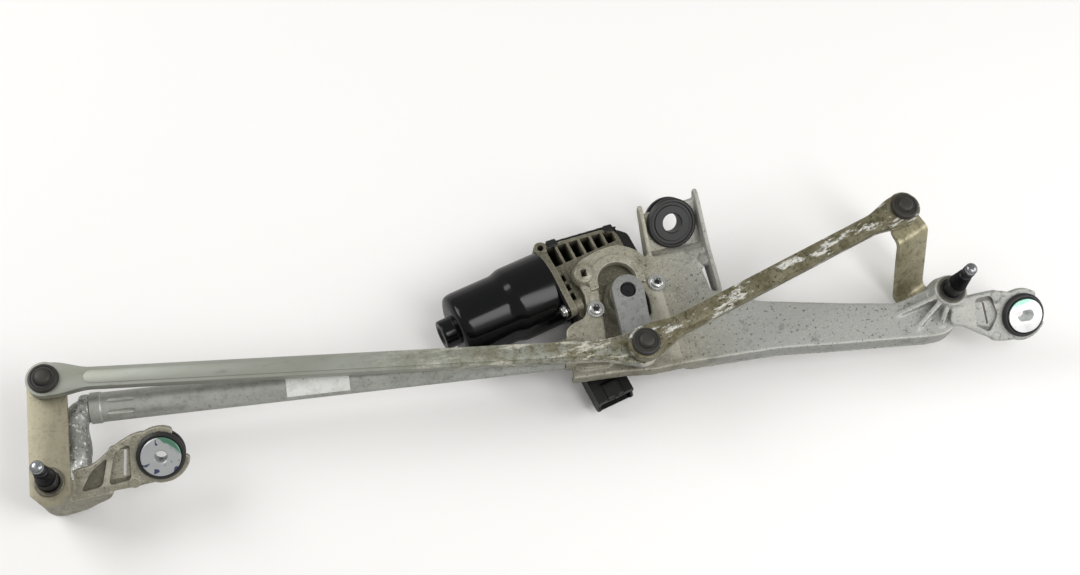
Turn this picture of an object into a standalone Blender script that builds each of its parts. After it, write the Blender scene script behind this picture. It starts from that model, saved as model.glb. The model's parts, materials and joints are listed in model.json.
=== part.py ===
"""Windshield wiper motor with its linkage: gear motor, cast frame, tube, two pivots, crank, links and levers.

Lengths are metres. X runs from the left wiper spindle to the right one, Z up along the spindles, and the
spindle washers' plane is height 0 until the whole part is stood on its floor at the end.
"""

import math

import bmesh
import bpy
from mathutils import Matrix, Vector

MM = 0.001
GAP = 0.3 * MM
OVERLAP = 1.0 * MM
ROUND_STEPS = 16
SMALL_STEPS = 12
HOLE_STEPS = 8
CAN_STEPS = 20

ORIGIN_X = 379.5 * MM
ORIGIN_Y = 40.4 * MM
FLOOR_DEPTH = 62.5 * MM

SPINDLE_SPACING = 700 * MM
SHAFT_X = 446 * MM
SHAFT_Y = 54.5 * MM

CRANK_RADIUS = 51.4 * MM
CRANK_ANGLE = -93.9
CRANK_BOTTOM = -6 * MM
CRANK_TOP = 1 * MM
CRANK_SHAFT_END_RADIUS = 12.5 * MM
CRANK_PIN_END_RADIUS = 11 * MM
CRANK_RECESS = 2 * MM

LEFT_LEVER_LENGTH = 74.7 * MM
LEFT_LEVER_ANGLE = 84.3
LEFT_LEVER_WIDTH = 28 * MM
LEFT_LEVER_TAIL = 17 * MM
LEFT_LEVER_CHAMFER = 9 * MM
LEFT_LEVER_BOTTOM = -4.5 * MM
LEVER_THICKNESS = 4 * MM

RIGHT_LEVER_LENGTH = 72.3 * MM
RIGHT_LEVER_ANGLE = 109.8
RIGHT_LEVER_WIDTH = 23 * MM
RIGHT_LEVER_BOTTOM = -57 * MM
RIGHT_LEVER_EYE_BOTTOM = 8 * MM
RIGHT_LEVER_FOOT_LENGTH = 27 * MM
RIGHT_LEVER_EYE_START = 53 * MM

BALL_RADIUS = 6.5 * MM
BALL_NECK_RADIUS = 4 * MM
STUD_FLANGE_RADIUS = 8 * MM
STUD_FLANGE_THICKNESS = 1.6 * MM
STUD_SHANK_RADIUS = 5 * MM
BALL_HEIGHT = 8 * MM
BALL_PITCH = 11.5 * MM
BALL_PLAY = 0.5 * MM
SOCKET_RADIUS = 9.8 * MM
SOCKET_FLANGE_RADIUS = 12 * MM
SOCKET_WALL_TOP = 2.6 * MM
SOCKET_CROWN_RADIUS = 7.5 * MM
SOCKET_DEPTH = 4.4 * MM

LINK_ARC_STEPS = 9
LINK_SHEET = 2.2 * MM
LINK_HEIGHT = 8 * MM
LINK_PADDLE_RADIUS = 13 * MM
LINK_PADDLE_CHORD = 0.94
LINK_CHANNEL_WIDTH = 15 * MM
LINK_WAIST_START = 17 * MM
LINK_WAIST_LENGTH = 16 * MM
LINK_RIB_WIDTH = 6.5 * MM
LINK_RIB_HEIGHT = 1 * MM
LINK_ABOVE_BALL = 1.8 * MM

SPINDLE_RADIUS = 6 * MM
SPINDLE_TIP_HEIGHT = 46 * MM
THREAD_RADIUS = 4.9 * MM
THREAD_LENGTH = 15 * MM
TAPER_TOP_RADIUS = 5.3 * MM
TAPER_BASE_RADIUS = 7 * MM
TAPER_LENGTH = 15 * MM
SPINDLE_COLLAR_RADIUS = 7.4 * MM
SPINDLE_TAIL = 2.6 * MM
BUSH_WALL = 2 * MM
BUSH_LENGTH = 14 * MM
CIRCLIP_THICKNESS = 1.2 * MM
CIRCLIP_RADIUS = 8.6 * MM
WASHER_THICKNESS = 1 * MM
WASHER_RADIUS = 10.7 * MM

MOUNT_TILT = 31.0
SEAT_THICKNESS = 6 * MM
SEAT_RADIUS = 21 * MM
SEAT_BORE_RADIUS = 14.6 * MM
GROMMET_RADIUS = 17.6 * MM
GROMMET_FLANGE = 4 * MM
GROMMET_BORE_RADIUS = 6.9 * MM
TOP_GROMMET_RADIUS = 20 * MM
TOP_GROMMET_BORE_RADIUS = 7.6 * MM
TOP_SEAT_BORE_RADIUS = 16.5 * MM
SLEEVE_RADIUS = 6.5 * MM
SLEEVE_BORE_RADIUS = 4.5 * MM
SLEEVE_FLANGE_RADIUS = 14.4 * MM
SLEEVE_FLANGE_THICKNESS = 1.6 * MM
OBLONG_HALF_LENGTH = 2.5 * MM
LEFT_SEAT_X = 78.2 * MM
LEFT_SEAT_Y = 6.9 * MM
LEFT_SEAT_Z = -11.1 * MM
RIGHT_SEAT_X = SPINDLE_SPACING + 55.5 * MM
RIGHT_SEAT_Y = -27.5 * MM
RIGHT_SEAT_Z = -15 * MM
TOP_SEAT_X = 497.5 * MM
TOP_SEAT_Y = 107.5 * MM
TOP_SEAT_Z = -11.5 * MM

TUBE_RADIUS = 11 * MM
TUBE_WALL = 1.5 * MM
TUBE_HEIGHT = -18 * MM
TUBE_LEFT_X = 33.5 * MM
TUBE_LEFT_Y = 54.3 * MM
TUBE_RIGHT_X = 386 * MM
TUBE_RIGHT_Y = 19.0 * MM
TUBE_COLLAR_RADIUS = 11.7 * MM
TUBE_COLLAR_LENGTH = 8 * MM
SPIGOT_LENGTH = 40 * MM
CRIMP_RADIUS = 2.4 * MM
CRIMP_LENGTH = 20 * MM
CRIMP_DEPTH = 0.8 * MM
CRIMP_START = 13 * MM

LEFT_BOSS_RADIUS = 14 * MM
LEFT_BOSS_TOP = -6 * MM
LEFT_BOSS_BOTTOM = -57 * MM
NECK_RADIUS = 8.5 * MM
SKIRT_NEAR = 9.5 * MM
SKIRT_THICKNESS = 3 * MM

RIGHT_BOSS_RADIUS = 16 * MM
RIGHT_BOSS_TOP = -1 * MM
RIGHT_BOSS_BOTTOM = -51 * MM
GUSSETS = ((189.0, 47 * MM), (213.0, 41 * MM), (241.0, 28.5 * MM))
GUSSET_THICKNESS = 3.5 * MM

DECK_TOP = -12 * MM
DECK_THICKNESS = 5 * MM
BEAM_DEPTH = 17 * MM
BEAM_WALL = 3.5 * MM
BEAM_WEB = 4 * MM
TOWER = (417.5 * MM, 78 * MM)
EAR_WALL = 3.5 * MM
EAR_BOTTOM = -29 * MM
EAR_STEP_START = 77 * MM
EAR_STEP_END = 82 * MM

MOTOR_ANGLE = 12.9
GEAR_MODULE = 1.5 * MM
WHEEL_TEETH = 42
WORM_PITCH_RADIUS = 5.5 * MM
PRESSURE_ANGLE = 20.0
TOOTH_PLAY = 0.25 * MM
WHEEL_WIDTH = 8 * MM
WORM_LENGTH = 29 * MM
WORM_STEPS = 7
MOTOR_AXIS_HEIGHT = -32 * MM
CAN_TO_WORM = 141.3 * MM

CAN_FLANGE_AT = 94 * MM
CAN_RADIUS = 30.5 * MM
CAN_NOSE_RADIUS = 28 * MM
CAN_STEP_AT = 58 * MM
CAN_WALL = 1.8 * MM
CAN_BOSS_RADIUS = 12 * MM
CAN_BOSS_LENGTH = 11 * MM
CAN_FLANGE_THICKNESS = 1.8 * MM
CAN_EAR_RADIUS = 6 * MM
CAN_SCREW_RADIUS = 35.5 * MM
CAN_SCREW_ANGLES = (143.6, 323.6)
CAN_SCREW_SHANK = 2 * MM
CAN_SCREW_HEAD = 4.2 * MM
MOTOR_SHAFT_RADIUS = 4 * MM

CHAMBER_CLEARANCE = 1.6 * MM
CHAMBER_WALL = 3.9 * MM
CHAMBER_RADIUS = GEAR_MODULE * (WHEEL_TEETH / 2 + 1) + CHAMBER_CLEARANCE
HOUSING_RADIUS = CHAMBER_RADIUS + CHAMBER_WALL
HOUSING_TOP = -20 * MM
HOUSING_BOTTOM = -50 * MM
HOUSING_WALL = 4 * MM
HOUSING_FLANGE = 5.7 * MM
OUTPUT_BOSS_RADIUS = 13 * MM
OUTPUT_BOSS_TOP = -9 * MM
OUTPUT_SHAFT_RADIUS = 6 * MM
TUNNEL_RADIUS = 8 * MM
TUNNEL_TAIL = 16.2 * MM
TUNNEL_END = CAN_TO_WORM + WORM_LENGTH / 2 + TUNNEL_TAIL
POCKETS = 6
POCKET_PITCH = 9.6 * MM
POCKET_WIDTH = 7 * MM
POCKET_START = 104 * MM
POCKET_DEPTH = 15 * MM
COVER_THICKNESS = 3.6 * MM
SEAL_THICKNESS = 1 * MM

MOUNT_SCREW_HEAD_RADIUS = 7 * MM
MOUNT_SCREW_HEAD = 4.4 * MM
MOUNT_SCREW_SHANK = 3 * MM
MOUNT_SCREW_CIRCLE = 27.2 * MM
MOUNT_SCREW_ANGLES = (194.0, 10.7, 283.0)
MOUNT_PAD_RADIUS = 6.5 * MM

CONNECTOR_WIDTH = 32 * MM
CONNECTOR_HEIGHT = 17 * MM
CONNECTOR_WALL = 2 * MM
CONNECTOR_LEFT = 402 * MM
CONNECTOR_MOUTH_Y = -17 * MM
CONNECTOR_DEPTH = 19 * MM
HOOD_SINK = 8 * MM
TERMINALS = 5

CAST_ALUMINIUM = ((0.42, 0.40, 0.36), 0.55, 0.8)
BRIGHT_CASTING = ((0.55, 0.55, 0.56), 0.45, 0.9)
GREY_STEEL = ((0.36, 0.37, 0.36), 0.45, 0.7)
OLIVE_STEEL = ((0.35, 0.33, 0.25), 0.45, 0.6)
BLACK_STEEL = ((0.012, 0.012, 0.013), 0.2, 0.3)
DARK_STEEL = ((0.05, 0.05, 0.055), 0.4, 0.8)
ZINC = ((0.66, 0.67, 0.68), 0.3, 0.95)
RUBBER = ((0.02, 0.02, 0.02), 0.8, 0.0)
BLACK_PLASTIC = ((0.02, 0.02, 0.022), 0.5, 0.0)
CAP_PLASTIC = ((0.05, 0.047, 0.045), 0.45, 0.0)
GEAR_PLASTIC = ((0.75, 0.73, 0.66), 0.5, 0.0)
BRONZE = ((0.45, 0.28, 0.12), 0.5, 0.9)
COPPER = ((0.55, 0.22, 0.09), 0.35, 0.9)
FERRITE = ((0.06, 0.06, 0.06), 0.7, 0.0)
CARBON = ((0.03, 0.03, 0.03), 0.8, 0.1)


def polar(radius, degrees, centre=(0.0, 0.0)):
    angle = math.radians(degrees)
    return (centre[0] + radius * math.cos(angle), centre[1] + radius * math.sin(angle))


def arc(centre, radius, start, end, steps):
    return [polar(radius, start + (end - start) * i / steps, centre) for i in range(steps + 1)]


def circle(centre, radius, steps=ROUND_STEPS):
    return [polar(radius, 360 * i / steps, centre) for i in range(steps)]


def capsule(length, first_radius, second_radius, steps=10):
    """Outline round two circles, one at the origin and one at `length` along X."""
    lean = math.degrees(math.acos((first_radius - second_radius) / length))
    second = arc((length, 0), second_radius, -lean, lean, steps)
    return second + arc((0, 0), first_radius, lean, 360 - lean, steps)


def inset(outline, distance):
    """An anticlockwise outline moved inwards by `distance` on every side."""
    moved = []
    count = len(outline)
    for i in range(count):
        before = Vector(outline[i - 1])
        here = Vector(outline[i])
        after = Vector(outline[(i + 1) % count])
        first = (here - before).normalized()
        second = (after - here).normalized()
        first_normal = Vector((-first.y, first.x))
        second_normal = Vector((-second.y, second.x))
        middle = (first_normal + second_normal) / (1 + first_normal.dot(second_normal))
        moved.append(tuple(here + middle * distance))
    return moved


def turned_by(points, degrees, at=(0.0, 0.0)):
    cosine = math.cos(math.radians(degrees))
    sine = math.sin(math.radians(degrees))
    return [(at[0] + x * cosine - y * sine, at[1] + x * sine + y * cosine) for x, y in points]


def shift(x, y, z):
    return Matrix.Translation((x, y, z))


SHAFT = (SHAFT_X, SHAFT_Y)
PIN = polar(CRANK_RADIUS, CRANK_ANGLE, SHAFT)
LEFT_SPINDLE = (0.0, 0.0)
RIGHT_SPINDLE = (SPINDLE_SPACING, 0.0)
LEFT_BALL = polar(LEFT_LEVER_LENGTH, LEFT_LEVER_ANGLE, LEFT_SPINDLE)
RIGHT_BALL = polar(RIGHT_LEVER_LENGTH, RIGHT_LEVER_ANGLE, RIGHT_SPINDLE)

LEFT_LEVER_TOP = LEFT_LEVER_BOTTOM + LEVER_THICKNESS
RIGHT_LEVER_EYE_TOP = RIGHT_LEVER_EYE_BOTTOM + LEVER_THICKNESS
LOWER_BALL_Z = CRANK_TOP + BALL_HEIGHT
UPPER_BALL_Z = LOWER_BALL_Z + BALL_PITCH
LEFT_BALL_Z = LEFT_LEVER_TOP + GAP + BALL_HEIGHT
RIGHT_BALL_Z = RIGHT_LEVER_EYE_TOP + GAP + BALL_HEIGHT

WHEEL_PITCH_RADIUS = GEAR_MODULE * WHEEL_TEETH / 2
CENTRE_DISTANCE = WHEEL_PITCH_RADIUS + WORM_PITCH_RADIUS
WORM_LEAD = math.pi * GEAR_MODULE
MOTOR_ALONG = polar(1, MOTOR_ANGLE)
MOTOR_ACROSS = polar(1, MOTOR_ANGLE + 90)
CAN_END = (
    SHAFT_X + CENTRE_DISTANCE * MOTOR_ACROSS[0] - CAN_TO_WORM * MOTOR_ALONG[0],
    SHAFT_Y + CENTRE_DISTANCE * MOTOR_ACROSS[1] - CAN_TO_WORM * MOTOR_ALONG[1],
)
MOTOR = Matrix(
    (
        (MOTOR_ACROSS[0], 0, MOTOR_ALONG[0], CAN_END[0]),
        (MOTOR_ACROSS[1], 0, MOTOR_ALONG[1], CAN_END[1]),
        (0, 1, 0, MOTOR_AXIS_HEIGHT),
        (0, 0, 0, 1),
    )
)

TUBE_ANGLE = math.degrees(math.atan2(TUBE_RIGHT_Y - TUBE_LEFT_Y, TUBE_RIGHT_X - TUBE_LEFT_X))
TUBE_LENGTH = math.hypot(TUBE_RIGHT_X - TUBE_LEFT_X, TUBE_RIGHT_Y - TUBE_LEFT_Y)
TUBE = (
    shift(TUBE_LEFT_X, TUBE_LEFT_Y, TUBE_HEIGHT)
    @ Matrix.Rotation(math.radians(TUBE_ANGLE), 4, "Z")
    @ Matrix.Rotation(math.radians(90), 4, "Y")
)
UPRIGHT = Matrix.Rotation(math.radians(90), 4, "X")
TILT = Matrix.Rotation(math.radians(MOUNT_TILT), 4, "X")
LEFT_SEAT = shift(LEFT_SEAT_X, LEFT_SEAT_Y, LEFT_SEAT_Z) @ TILT
RIGHT_SEAT = shift(RIGHT_SEAT_X, RIGHT_SEAT_Y, RIGHT_SEAT_Z) @ TILT
TOP_SEAT = shift(TOP_SEAT_X, TOP_SEAT_Y, TOP_SEAT_Z) @ TILT


def beside_motor(along, across):
    """A plan point given by its place along the motor's axis and to the left of it."""
    return (
        CAN_END[0] + along * MOTOR_ALONG[0] + across * MOTOR_ACROSS[0],
        CAN_END[1] + along * MOTOR_ALONG[1] + across * MOTOR_ACROSS[1],
    )


def clear_scene():
    for item in list(bpy.data.objects):
        bpy.data.objects.remove(item, do_unlink=True)


def collection_named(name):
    made = bpy.data.collections.new(name)
    bpy.context.scene.collection.children.link(made)
    return made


def material_named(name, finish):
    colour, roughness, metallic = finish
    made = bpy.data.materials.new(name)
    made.use_nodes = True
    shader = made.node_tree.nodes["Principled BSDF"]
    shader.inputs["Base Color"].default_value = (*colour, 1)
    shader.inputs["Roughness"].default_value = roughness
    shader.inputs["Metallic"].default_value = metallic
    made.diffuse_color = (*colour, 1)
    return made


def new_object(mesh, matrix=None):
    if matrix is not None:
        mesh.transform(matrix)
    made = bpy.data.objects.new(mesh.name, mesh)
    CUTTERS.objects.link(made)
    made.parent = ROOT
    made.hide_render = True
    made.display_type = "WIRE"
    return made


def baked(source, matrix=None):
    """The source object's evaluated shape as a plain welded mesh, facing outwards."""
    CUTTERS.objects.link(source)
    graph = bpy.context.evaluated_depsgraph_get()
    mesh = bpy.data.meshes.new_from_object(source.evaluated_get(graph))
    bpy.data.objects.remove(source, do_unlink=True)
    shape = bmesh.new()
    shape.from_mesh(mesh)
    bmesh.ops.remove_doubles(shape, verts=shape.verts, dist=0.001 * MM)
    bmesh.ops.recalc_face_normals(shape, faces=shape.faces)
    shape.to_mesh(mesh)
    shape.free()
    return new_object(mesh, matrix)


def turned(profile, matrix=None, ring=False, steps=ROUND_STEPS):
    """A turned piece from its (radius, height) profile, which runs down the outer side."""
    mesh = bpy.data.meshes.new("turned")
    edges = [(i, i + 1) for i in range(len(profile) - 1)]
    if ring:
        edges.append((len(profile) - 1, 0))
    mesh.from_pydata([(radius, 0, height) for radius, height in profile], edges, [])
    source = bpy.data.objects.new("turned", mesh)
    screw = source.modifiers.new("turn", "SCREW")
    screw.axis = "Z"
    screw.steps = steps
    screw.render_steps = steps
    screw.use_merge_vertices = True
    screw.merge_threshold = 0.01 * MM
    return baked(source, matrix)


def cylinder(radius, bottom, top, matrix=None, steps=ROUND_STEPS):
    return turned([(0, top), (radius, top), (radius, bottom), (0, bottom)], matrix, steps=steps)


def at_plan(point):
    return shift(point[0], point[1], 0)


def plate(outlines, bottom, top, matrix=None):
    """A flat piece between two heights: the first outline is its rim, the others its holes."""
    curve = bpy.data.curves.new("plate", "CURVE")
    curve.dimensions = "2D"
    curve.fill_mode = "BOTH"
    curve.extrude = (top - bottom) / 2
    for outline in outlines:
        spline = curve.splines.new("POLY")
        spline.points.add(len(outline) - 1)
        for point, (x, y) in zip(spline.points, outline):
            point.co = (x, y, 0, 1)
        spline.use_cyclic_u = True
    lift = shift(0, 0, (bottom + top) / 2)
    return baked(bpy.data.objects.new("plate", curve), lift if matrix is None else matrix @ lift)


def box(low, high, matrix=None):
    mesh = bpy.data.meshes.new("box")
    shape = bmesh.new()
    size = [high[i] - low[i] for i in range(3)]
    middle = [(high[i] + low[i]) / 2 for i in range(3)]
    place = Matrix.Translation(middle) @ Matrix.Diagonal((*size, 1))
    bmesh.ops.create_cube(shape, size=1, matrix=place)
    shape.to_mesh(mesh)
    shape.free()
    return new_object(mesh, matrix)


def rod(points, radius, bevel_resolution=2):
    """A round bar along a smooth run of points."""
    curve = bpy.data.curves.new("rod", "CURVE")
    curve.dimensions = "3D"
    curve.bevel_depth = radius
    curve.bevel_resolution = bevel_resolution
    curve.use_fill_caps = True
    spline = curve.splines.new("POLY")
    spline.points.add(len(points) - 1)
    for point, place in zip(spline.points, points):
        point.co = (*place, 1)
    return baked(bpy.data.objects.new("rod", curve))


def loft(rings, matrix=None):
    """A closed solid through rings of points that match one for one."""
    mesh = bpy.data.meshes.new("loft")
    shape = bmesh.new()
    made = [[shape.verts.new(point) for point in ring] for ring in rings]
    count = len(rings[0])
    for lower, upper in zip(made, made[1:]):
        for i in range(count):
            j = (i + 1) % count
            shape.faces.new((lower[i], lower[j], upper[j], upper[i]))
    shape.faces.new(made[0])
    shape.faces.new(made[-1])
    bmesh.ops.recalc_face_normals(shape, faces=shape.faces)
    shape.to_mesh(mesh)
    shape.free()
    return new_object(mesh, matrix)


def combine(target, operation, tools):
    for tool in tools:
        step = target.modifiers.new(operation.lower(), "BOOLEAN")
        step.operation = operation
        step.solver = "EXACT"
        step.object = tool
    return target


def join(target, *tools):
    return combine(target, "UNION", tools)


def cut(target, *tools):
    return combine(target, "DIFFERENCE", tools)


def manifold(target):
    """Switches a piece's joins and cuts to the solver that copes with many faces in one plane."""
    for step in target.modifiers:
        if step.type == "BOOLEAN":
            step.solver = "MANIFOLD"
    return target


class Body:
    """A rigid group of pieces with its joint's place."""

    def __init__(self, name, at, parent=None):
        self.at = Vector(at)
        self.empty = bpy.data.objects.new(name, None)
        self.empty.empty_display_size = 20 * MM
        PARTS.objects.link(self.empty)
        self.empty.parent = parent.empty if parent else ROOT
        self.empty.location = self.at - (parent.at if parent else Vector((0, 0, 0)))

    def take(self, name, piece, finish):
        """Names a finished piece, gives it its material and its origin on this body's joint."""
        CUTTERS.objects.unlink(piece)
        PARTS.objects.link(piece)
        piece.name = name
        piece.data.name = name
        piece.hide_render = False
        piece.display_type = "TEXTURED"
        piece.data.transform(Matrix.Translation(-self.at))
        piece.parent = self.empty
        piece.data.materials.clear()
        piece.data.materials.append(material_named(name + "_finish", finish))
        piece.data.shade_smooth()
        return piece


def spindle(foot, tail_end):
    """Spindle from its shaft's lower end up to the threaded tip."""
    thread_bottom = SPINDLE_TIP_HEIGHT - THREAD_LENGTH
    taper_bottom = thread_bottom - TAPER_LENGTH - 1 * MM
    chamfer = 1.2 * MM
    profile = [(0, SPINDLE_TIP_HEIGHT), (THREAD_RADIUS - chamfer, SPINDLE_TIP_HEIGHT)]
    profile += [
        (THREAD_RADIUS, SPINDLE_TIP_HEIGHT - chamfer),
        (THREAD_RADIUS, thread_bottom),
        (THREAD_RADIUS - 0.8 * MM, thread_bottom - 1 * MM),
        (TAPER_TOP_RADIUS, thread_bottom - 1 * MM),
        (TAPER_BASE_RADIUS, taper_bottom),
        (SPINDLE_COLLAR_RADIUS, taper_bottom - 0.4 * MM),
        (SPINDLE_COLLAR_RADIUS, foot),
        (SPINDLE_RADIUS, foot),
        (SPINDLE_RADIUS, tail_end + 0.6 * MM),
        (SPINDLE_RADIUS - 0.6 * MM, tail_end),
        (0, tail_end),
    ]
    return turned(profile, steps=SMALL_STEPS)


def ring(inner, outer, bottom, top, matrix=None, steps=SMALL_STEPS):
    return turned([(outer, top), (outer, bottom), (inner, bottom), (inner, top)], matrix, ring=True, steps=steps)


def circlip(at, bottom):
    """Spring ring with its open mouth."""
    clip = ring(SPINDLE_RADIUS + GAP, CIRCLIP_RADIUS, bottom, bottom + CIRCLIP_THICKNESS, at_plan(at))
    reach = CIRCLIP_RADIUS + OVERLAP
    mouth = box((0, -1.5 * MM, bottom - OVERLAP), (reach, 1.5 * MM, bottom + 2 * OVERLAP), at_plan(at))
    return cut(clip, mouth)


def grommet(matrix, radius, groove_radius, bore_radius, groove=SEAT_THICKNESS):
    """Rubber grommet whose groove holds the seat plate."""
    half = groove / 2 + GAP
    full = half + GROMMET_FLANGE
    inner = groove_radius - GAP
    bevel = 1.2 * MM
    profile = [
        (radius - bevel, full),
        (radius, full - bevel),
        (radius, half),
        (inner, half),
        (inner, -half),
        (radius, -half),
        (radius, bevel - full),
        (radius - bevel, -full),
        (bore_radius, -full),
        (bore_radius, full),
    ]
    return turned(profile, matrix, ring=True, steps=SMALL_STEPS)


def sleeve_flange_height():
    return SEAT_THICKNESS / 2 + GROMMET_FLANGE + 2 * GAP


def round_sleeve(matrix):
    """Steel sleeve with a round hole, its flange on the grommet's upper face."""
    flange = sleeve_flange_height()
    profile = [
        (SLEEVE_FLANGE_RADIUS - 0.5 * MM, flange + SLEEVE_FLANGE_THICKNESS),
        (SLEEVE_FLANGE_RADIUS, flange + SLEEVE_FLANGE_THICKNESS - 0.5 * MM),
        (SLEEVE_FLANGE_RADIUS, flange),
        (SLEEVE_RADIUS, flange),
        (SLEEVE_RADIUS, -flange),
        (SLEEVE_BORE_RADIUS, -flange),
        (SLEEVE_BORE_RADIUS, flange + SLEEVE_FLANGE_THICKNESS),
    ]
    return turned(profile, matrix, ring=True)


def oblong(half_length, radius, steps=8):
    right = arc((half_length, 0), radius, -90, 90, steps)
    return right + arc((-half_length, 0), radius, 90, 270, steps)


def oblong_sleeve(matrix):
    """Steel sleeve with an oblong hole, which lets the mount slide along X."""
    flange = sleeve_flange_height()
    disc = oblong(1 * MM, SLEEVE_FLANGE_RADIUS - 1 * MM)
    barrel = oblong(OBLONG_HALF_LENGTH, SLEEVE_RADIUS - 0.4 * MM)
    hole = oblong(OBLONG_HALF_LENGTH, SLEEVE_BORE_RADIUS)
    piece = plate([barrel], -flange, flange + SLEEVE_FLANGE_THICKNESS / 2, matrix)
    join(piece, plate([disc], flange, flange + SLEEVE_FLANGE_THICKNESS, matrix))
    cut(piece, plate([hole], -2 * flange, 2 * flange, matrix))
    return manifold(piece)


def ball_stud(foot, ball_heights, shank_bottom=None):
    """Stud with a flange on the arm it stands on and one or two balls above."""
    steps = 5
    profile = []
    top = max(ball_heights)
    for height in sorted(ball_heights, reverse=True):
        first = 0.0 if height == top else 180 * math.asin(BALL_NECK_RADIUS / BALL_RADIUS) / math.pi
        last = 180 - 180 * math.asin(BALL_NECK_RADIUS / BALL_RADIUS) / math.pi
        for i in range(steps + 1):
            angle = math.radians(first + (last - first) * i / steps)
            profile.append((BALL_RADIUS * math.sin(angle), height + BALL_RADIUS * math.cos(angle)))
    profile[0] = (0, top + BALL_RADIUS)
    flange_top = foot + STUD_FLANGE_THICKNESS
    profile += [(BALL_NECK_RADIUS, flange_top), (STUD_FLANGE_RADIUS, flange_top), (STUD_FLANGE_RADIUS, foot)]
    if shank_bottom is not None:
        profile += [(STUD_SHANK_RADIUS, foot), (STUD_SHANK_RADIUS, shank_bottom), (0, shank_bottom)]
    else:
        profile.append((0, foot))
    return profile


def link_top(ball_height):
    return ball_height + LINK_ABOVE_BALL


def ball_socket(at, ball_height, closed):
    """Plastic socket snapped into a link's end: a domed cap, or a ring that lets the stud through."""
    web_top = link_top(ball_height) + GAP
    web_bottom = link_top(ball_height) - LINK_SHEET - GAP
    cavity = BALL_RADIUS + BALL_PLAY
    crown = ball_height + BALL_RADIUS + 2.4 * MM
    if closed:
        outer = [
            (0, crown),
            (SOCKET_CROWN_RADIUS - 1 * MM, crown),
            (SOCKET_CROWN_RADIUS + 0.5 * MM, web_top + SOCKET_WALL_TOP + 1.2 * MM),
            (SOCKET_FLANGE_RADIUS - 1.2 * MM, web_top + SOCKET_WALL_TOP),
        ]
        first = 0.0
    else:
        outer = [(BALL_NECK_RADIUS + 2 * MM, web_top + 1.2 * MM), (SOCKET_FLANGE_RADIUS - 1.2 * MM, web_top + 1.2 * MM)]
        first = math.degrees(math.asin((BALL_NECK_RADIUS + 2 * MM) / cavity))
    lip_bottom = ball_height - SOCKET_DEPTH
    outer += [
        (SOCKET_FLANGE_RADIUS, web_top + 0.6 * MM),
        (SOCKET_FLANGE_RADIUS, web_top),
        (SOCKET_RADIUS, web_top),
        (SOCKET_RADIUS, web_bottom),
        (SOCKET_RADIUS - 1.2 * MM, lip_bottom),
    ]
    mouth = math.degrees(math.acos(-SOCKET_DEPTH / cavity))
    steps = 5
    inner = []
    for i in range(steps + 1):
        angle = math.radians(mouth + (first - mouth) * i / steps)
        inner.append((cavity * math.sin(angle), ball_height + cavity * math.cos(angle)))
    if closed:
        inner[-1] = (0, ball_height + cavity)
    return turned(outer + inner, at_plan(at), ring=not closed, steps=SMALL_STEPS)


def link(start, end, height_at_start, height_at_end, start_radius, end_radius):
    """Stamped steel link: an open-bottomed channel with flat paddles, each with a socket hole."""
    length = math.hypot(end[0] - start[0], end[1] - start[1])
    heading = math.degrees(math.atan2(end[1] - start[1], end[0] - start[0]))
    pitch = math.degrees(math.atan2(height_at_end - height_at_start, length))
    half = LINK_CHANNEL_WIDTH / 2
    waist = LINK_WAIST_START + LINK_WAIST_LENGTH
    start_reach = math.degrees(math.asin(LINK_PADDLE_CHORD))
    outline = arc((0, 0), start_radius, start_reach, 360 - start_reach, LINK_ARC_STEPS)
    outline += [(LINK_WAIST_START, -start_radius * LINK_PADDLE_CHORD), (waist, -half)]
    outline += [(length - waist, -half), (length - LINK_WAIST_START, -end_radius * LINK_PADDLE_CHORD)]
    outline += arc((length, 0), end_radius, start_reach - 180, 180 - start_reach, LINK_ARC_STEPS)
    outline += [(length - LINK_WAIST_START, end_radius * LINK_PADDLE_CHORD), (length - waist, half)]
    outline += [(waist, half), (LINK_WAIST_START, start_radius * LINK_PADDLE_CHORD)]
    place = (
        shift(start[0], start[1], link_top(height_at_start))
        @ Matrix.Rotation(math.radians(heading), 4, "Z")
        @ Matrix.Rotation(math.radians(-pitch), 4, "Y")
    )
    piece = plate([outline], -LINK_HEIGHT, 0, place)
    cut(piece, plate([inset(outline, LINK_SHEET)], -LINK_HEIGHT - OVERLAP, -LINK_SHEET, place))
    rib_end = length - waist
    rib = oblong((rib_end - waist) / 2, LINK_RIB_WIDTH / 2)
    rib_place = place @ shift(length / 2, 0, 0)
    join(piece, plate([rib], -LINK_SHEET / 2, LINK_RIB_HEIGHT, rib_place))
    hole = SOCKET_RADIUS + GAP
    cut(piece, cylinder(hole, -LINK_HEIGHT, LINK_HEIGHT, place))
    cut(piece, cylinder(hole, -LINK_HEIGHT, LINK_HEIGHT, place @ shift(length, 0, 0)))
    return piece


def left_lever_plate():
    """Flat lever with chamfered tail corners and a round ball end."""
    half = LEFT_LEVER_WIDTH / 2
    tail = -LEFT_LEVER_TAIL
    outline = [(tail, -half + LEFT_LEVER_CHAMFER), (tail + LEFT_LEVER_CHAMFER, -half), (LEFT_LEVER_LENGTH, -half)]
    outline += arc((LEFT_LEVER_LENGTH, 0), half, -80, 80, 10)
    outline += [(LEFT_LEVER_LENGTH, half), (tail + LEFT_LEVER_CHAMFER, half), (tail, half - LEFT_LEVER_CHAMFER)]
    outline = turned_by(outline, LEFT_LEVER_ANGLE)
    hole = circle((0, 0), SPINDLE_RADIUS + GAP, 16)
    return plate([outline, hole], LEFT_LEVER_BOTTOM, LEFT_LEVER_TOP)


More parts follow.
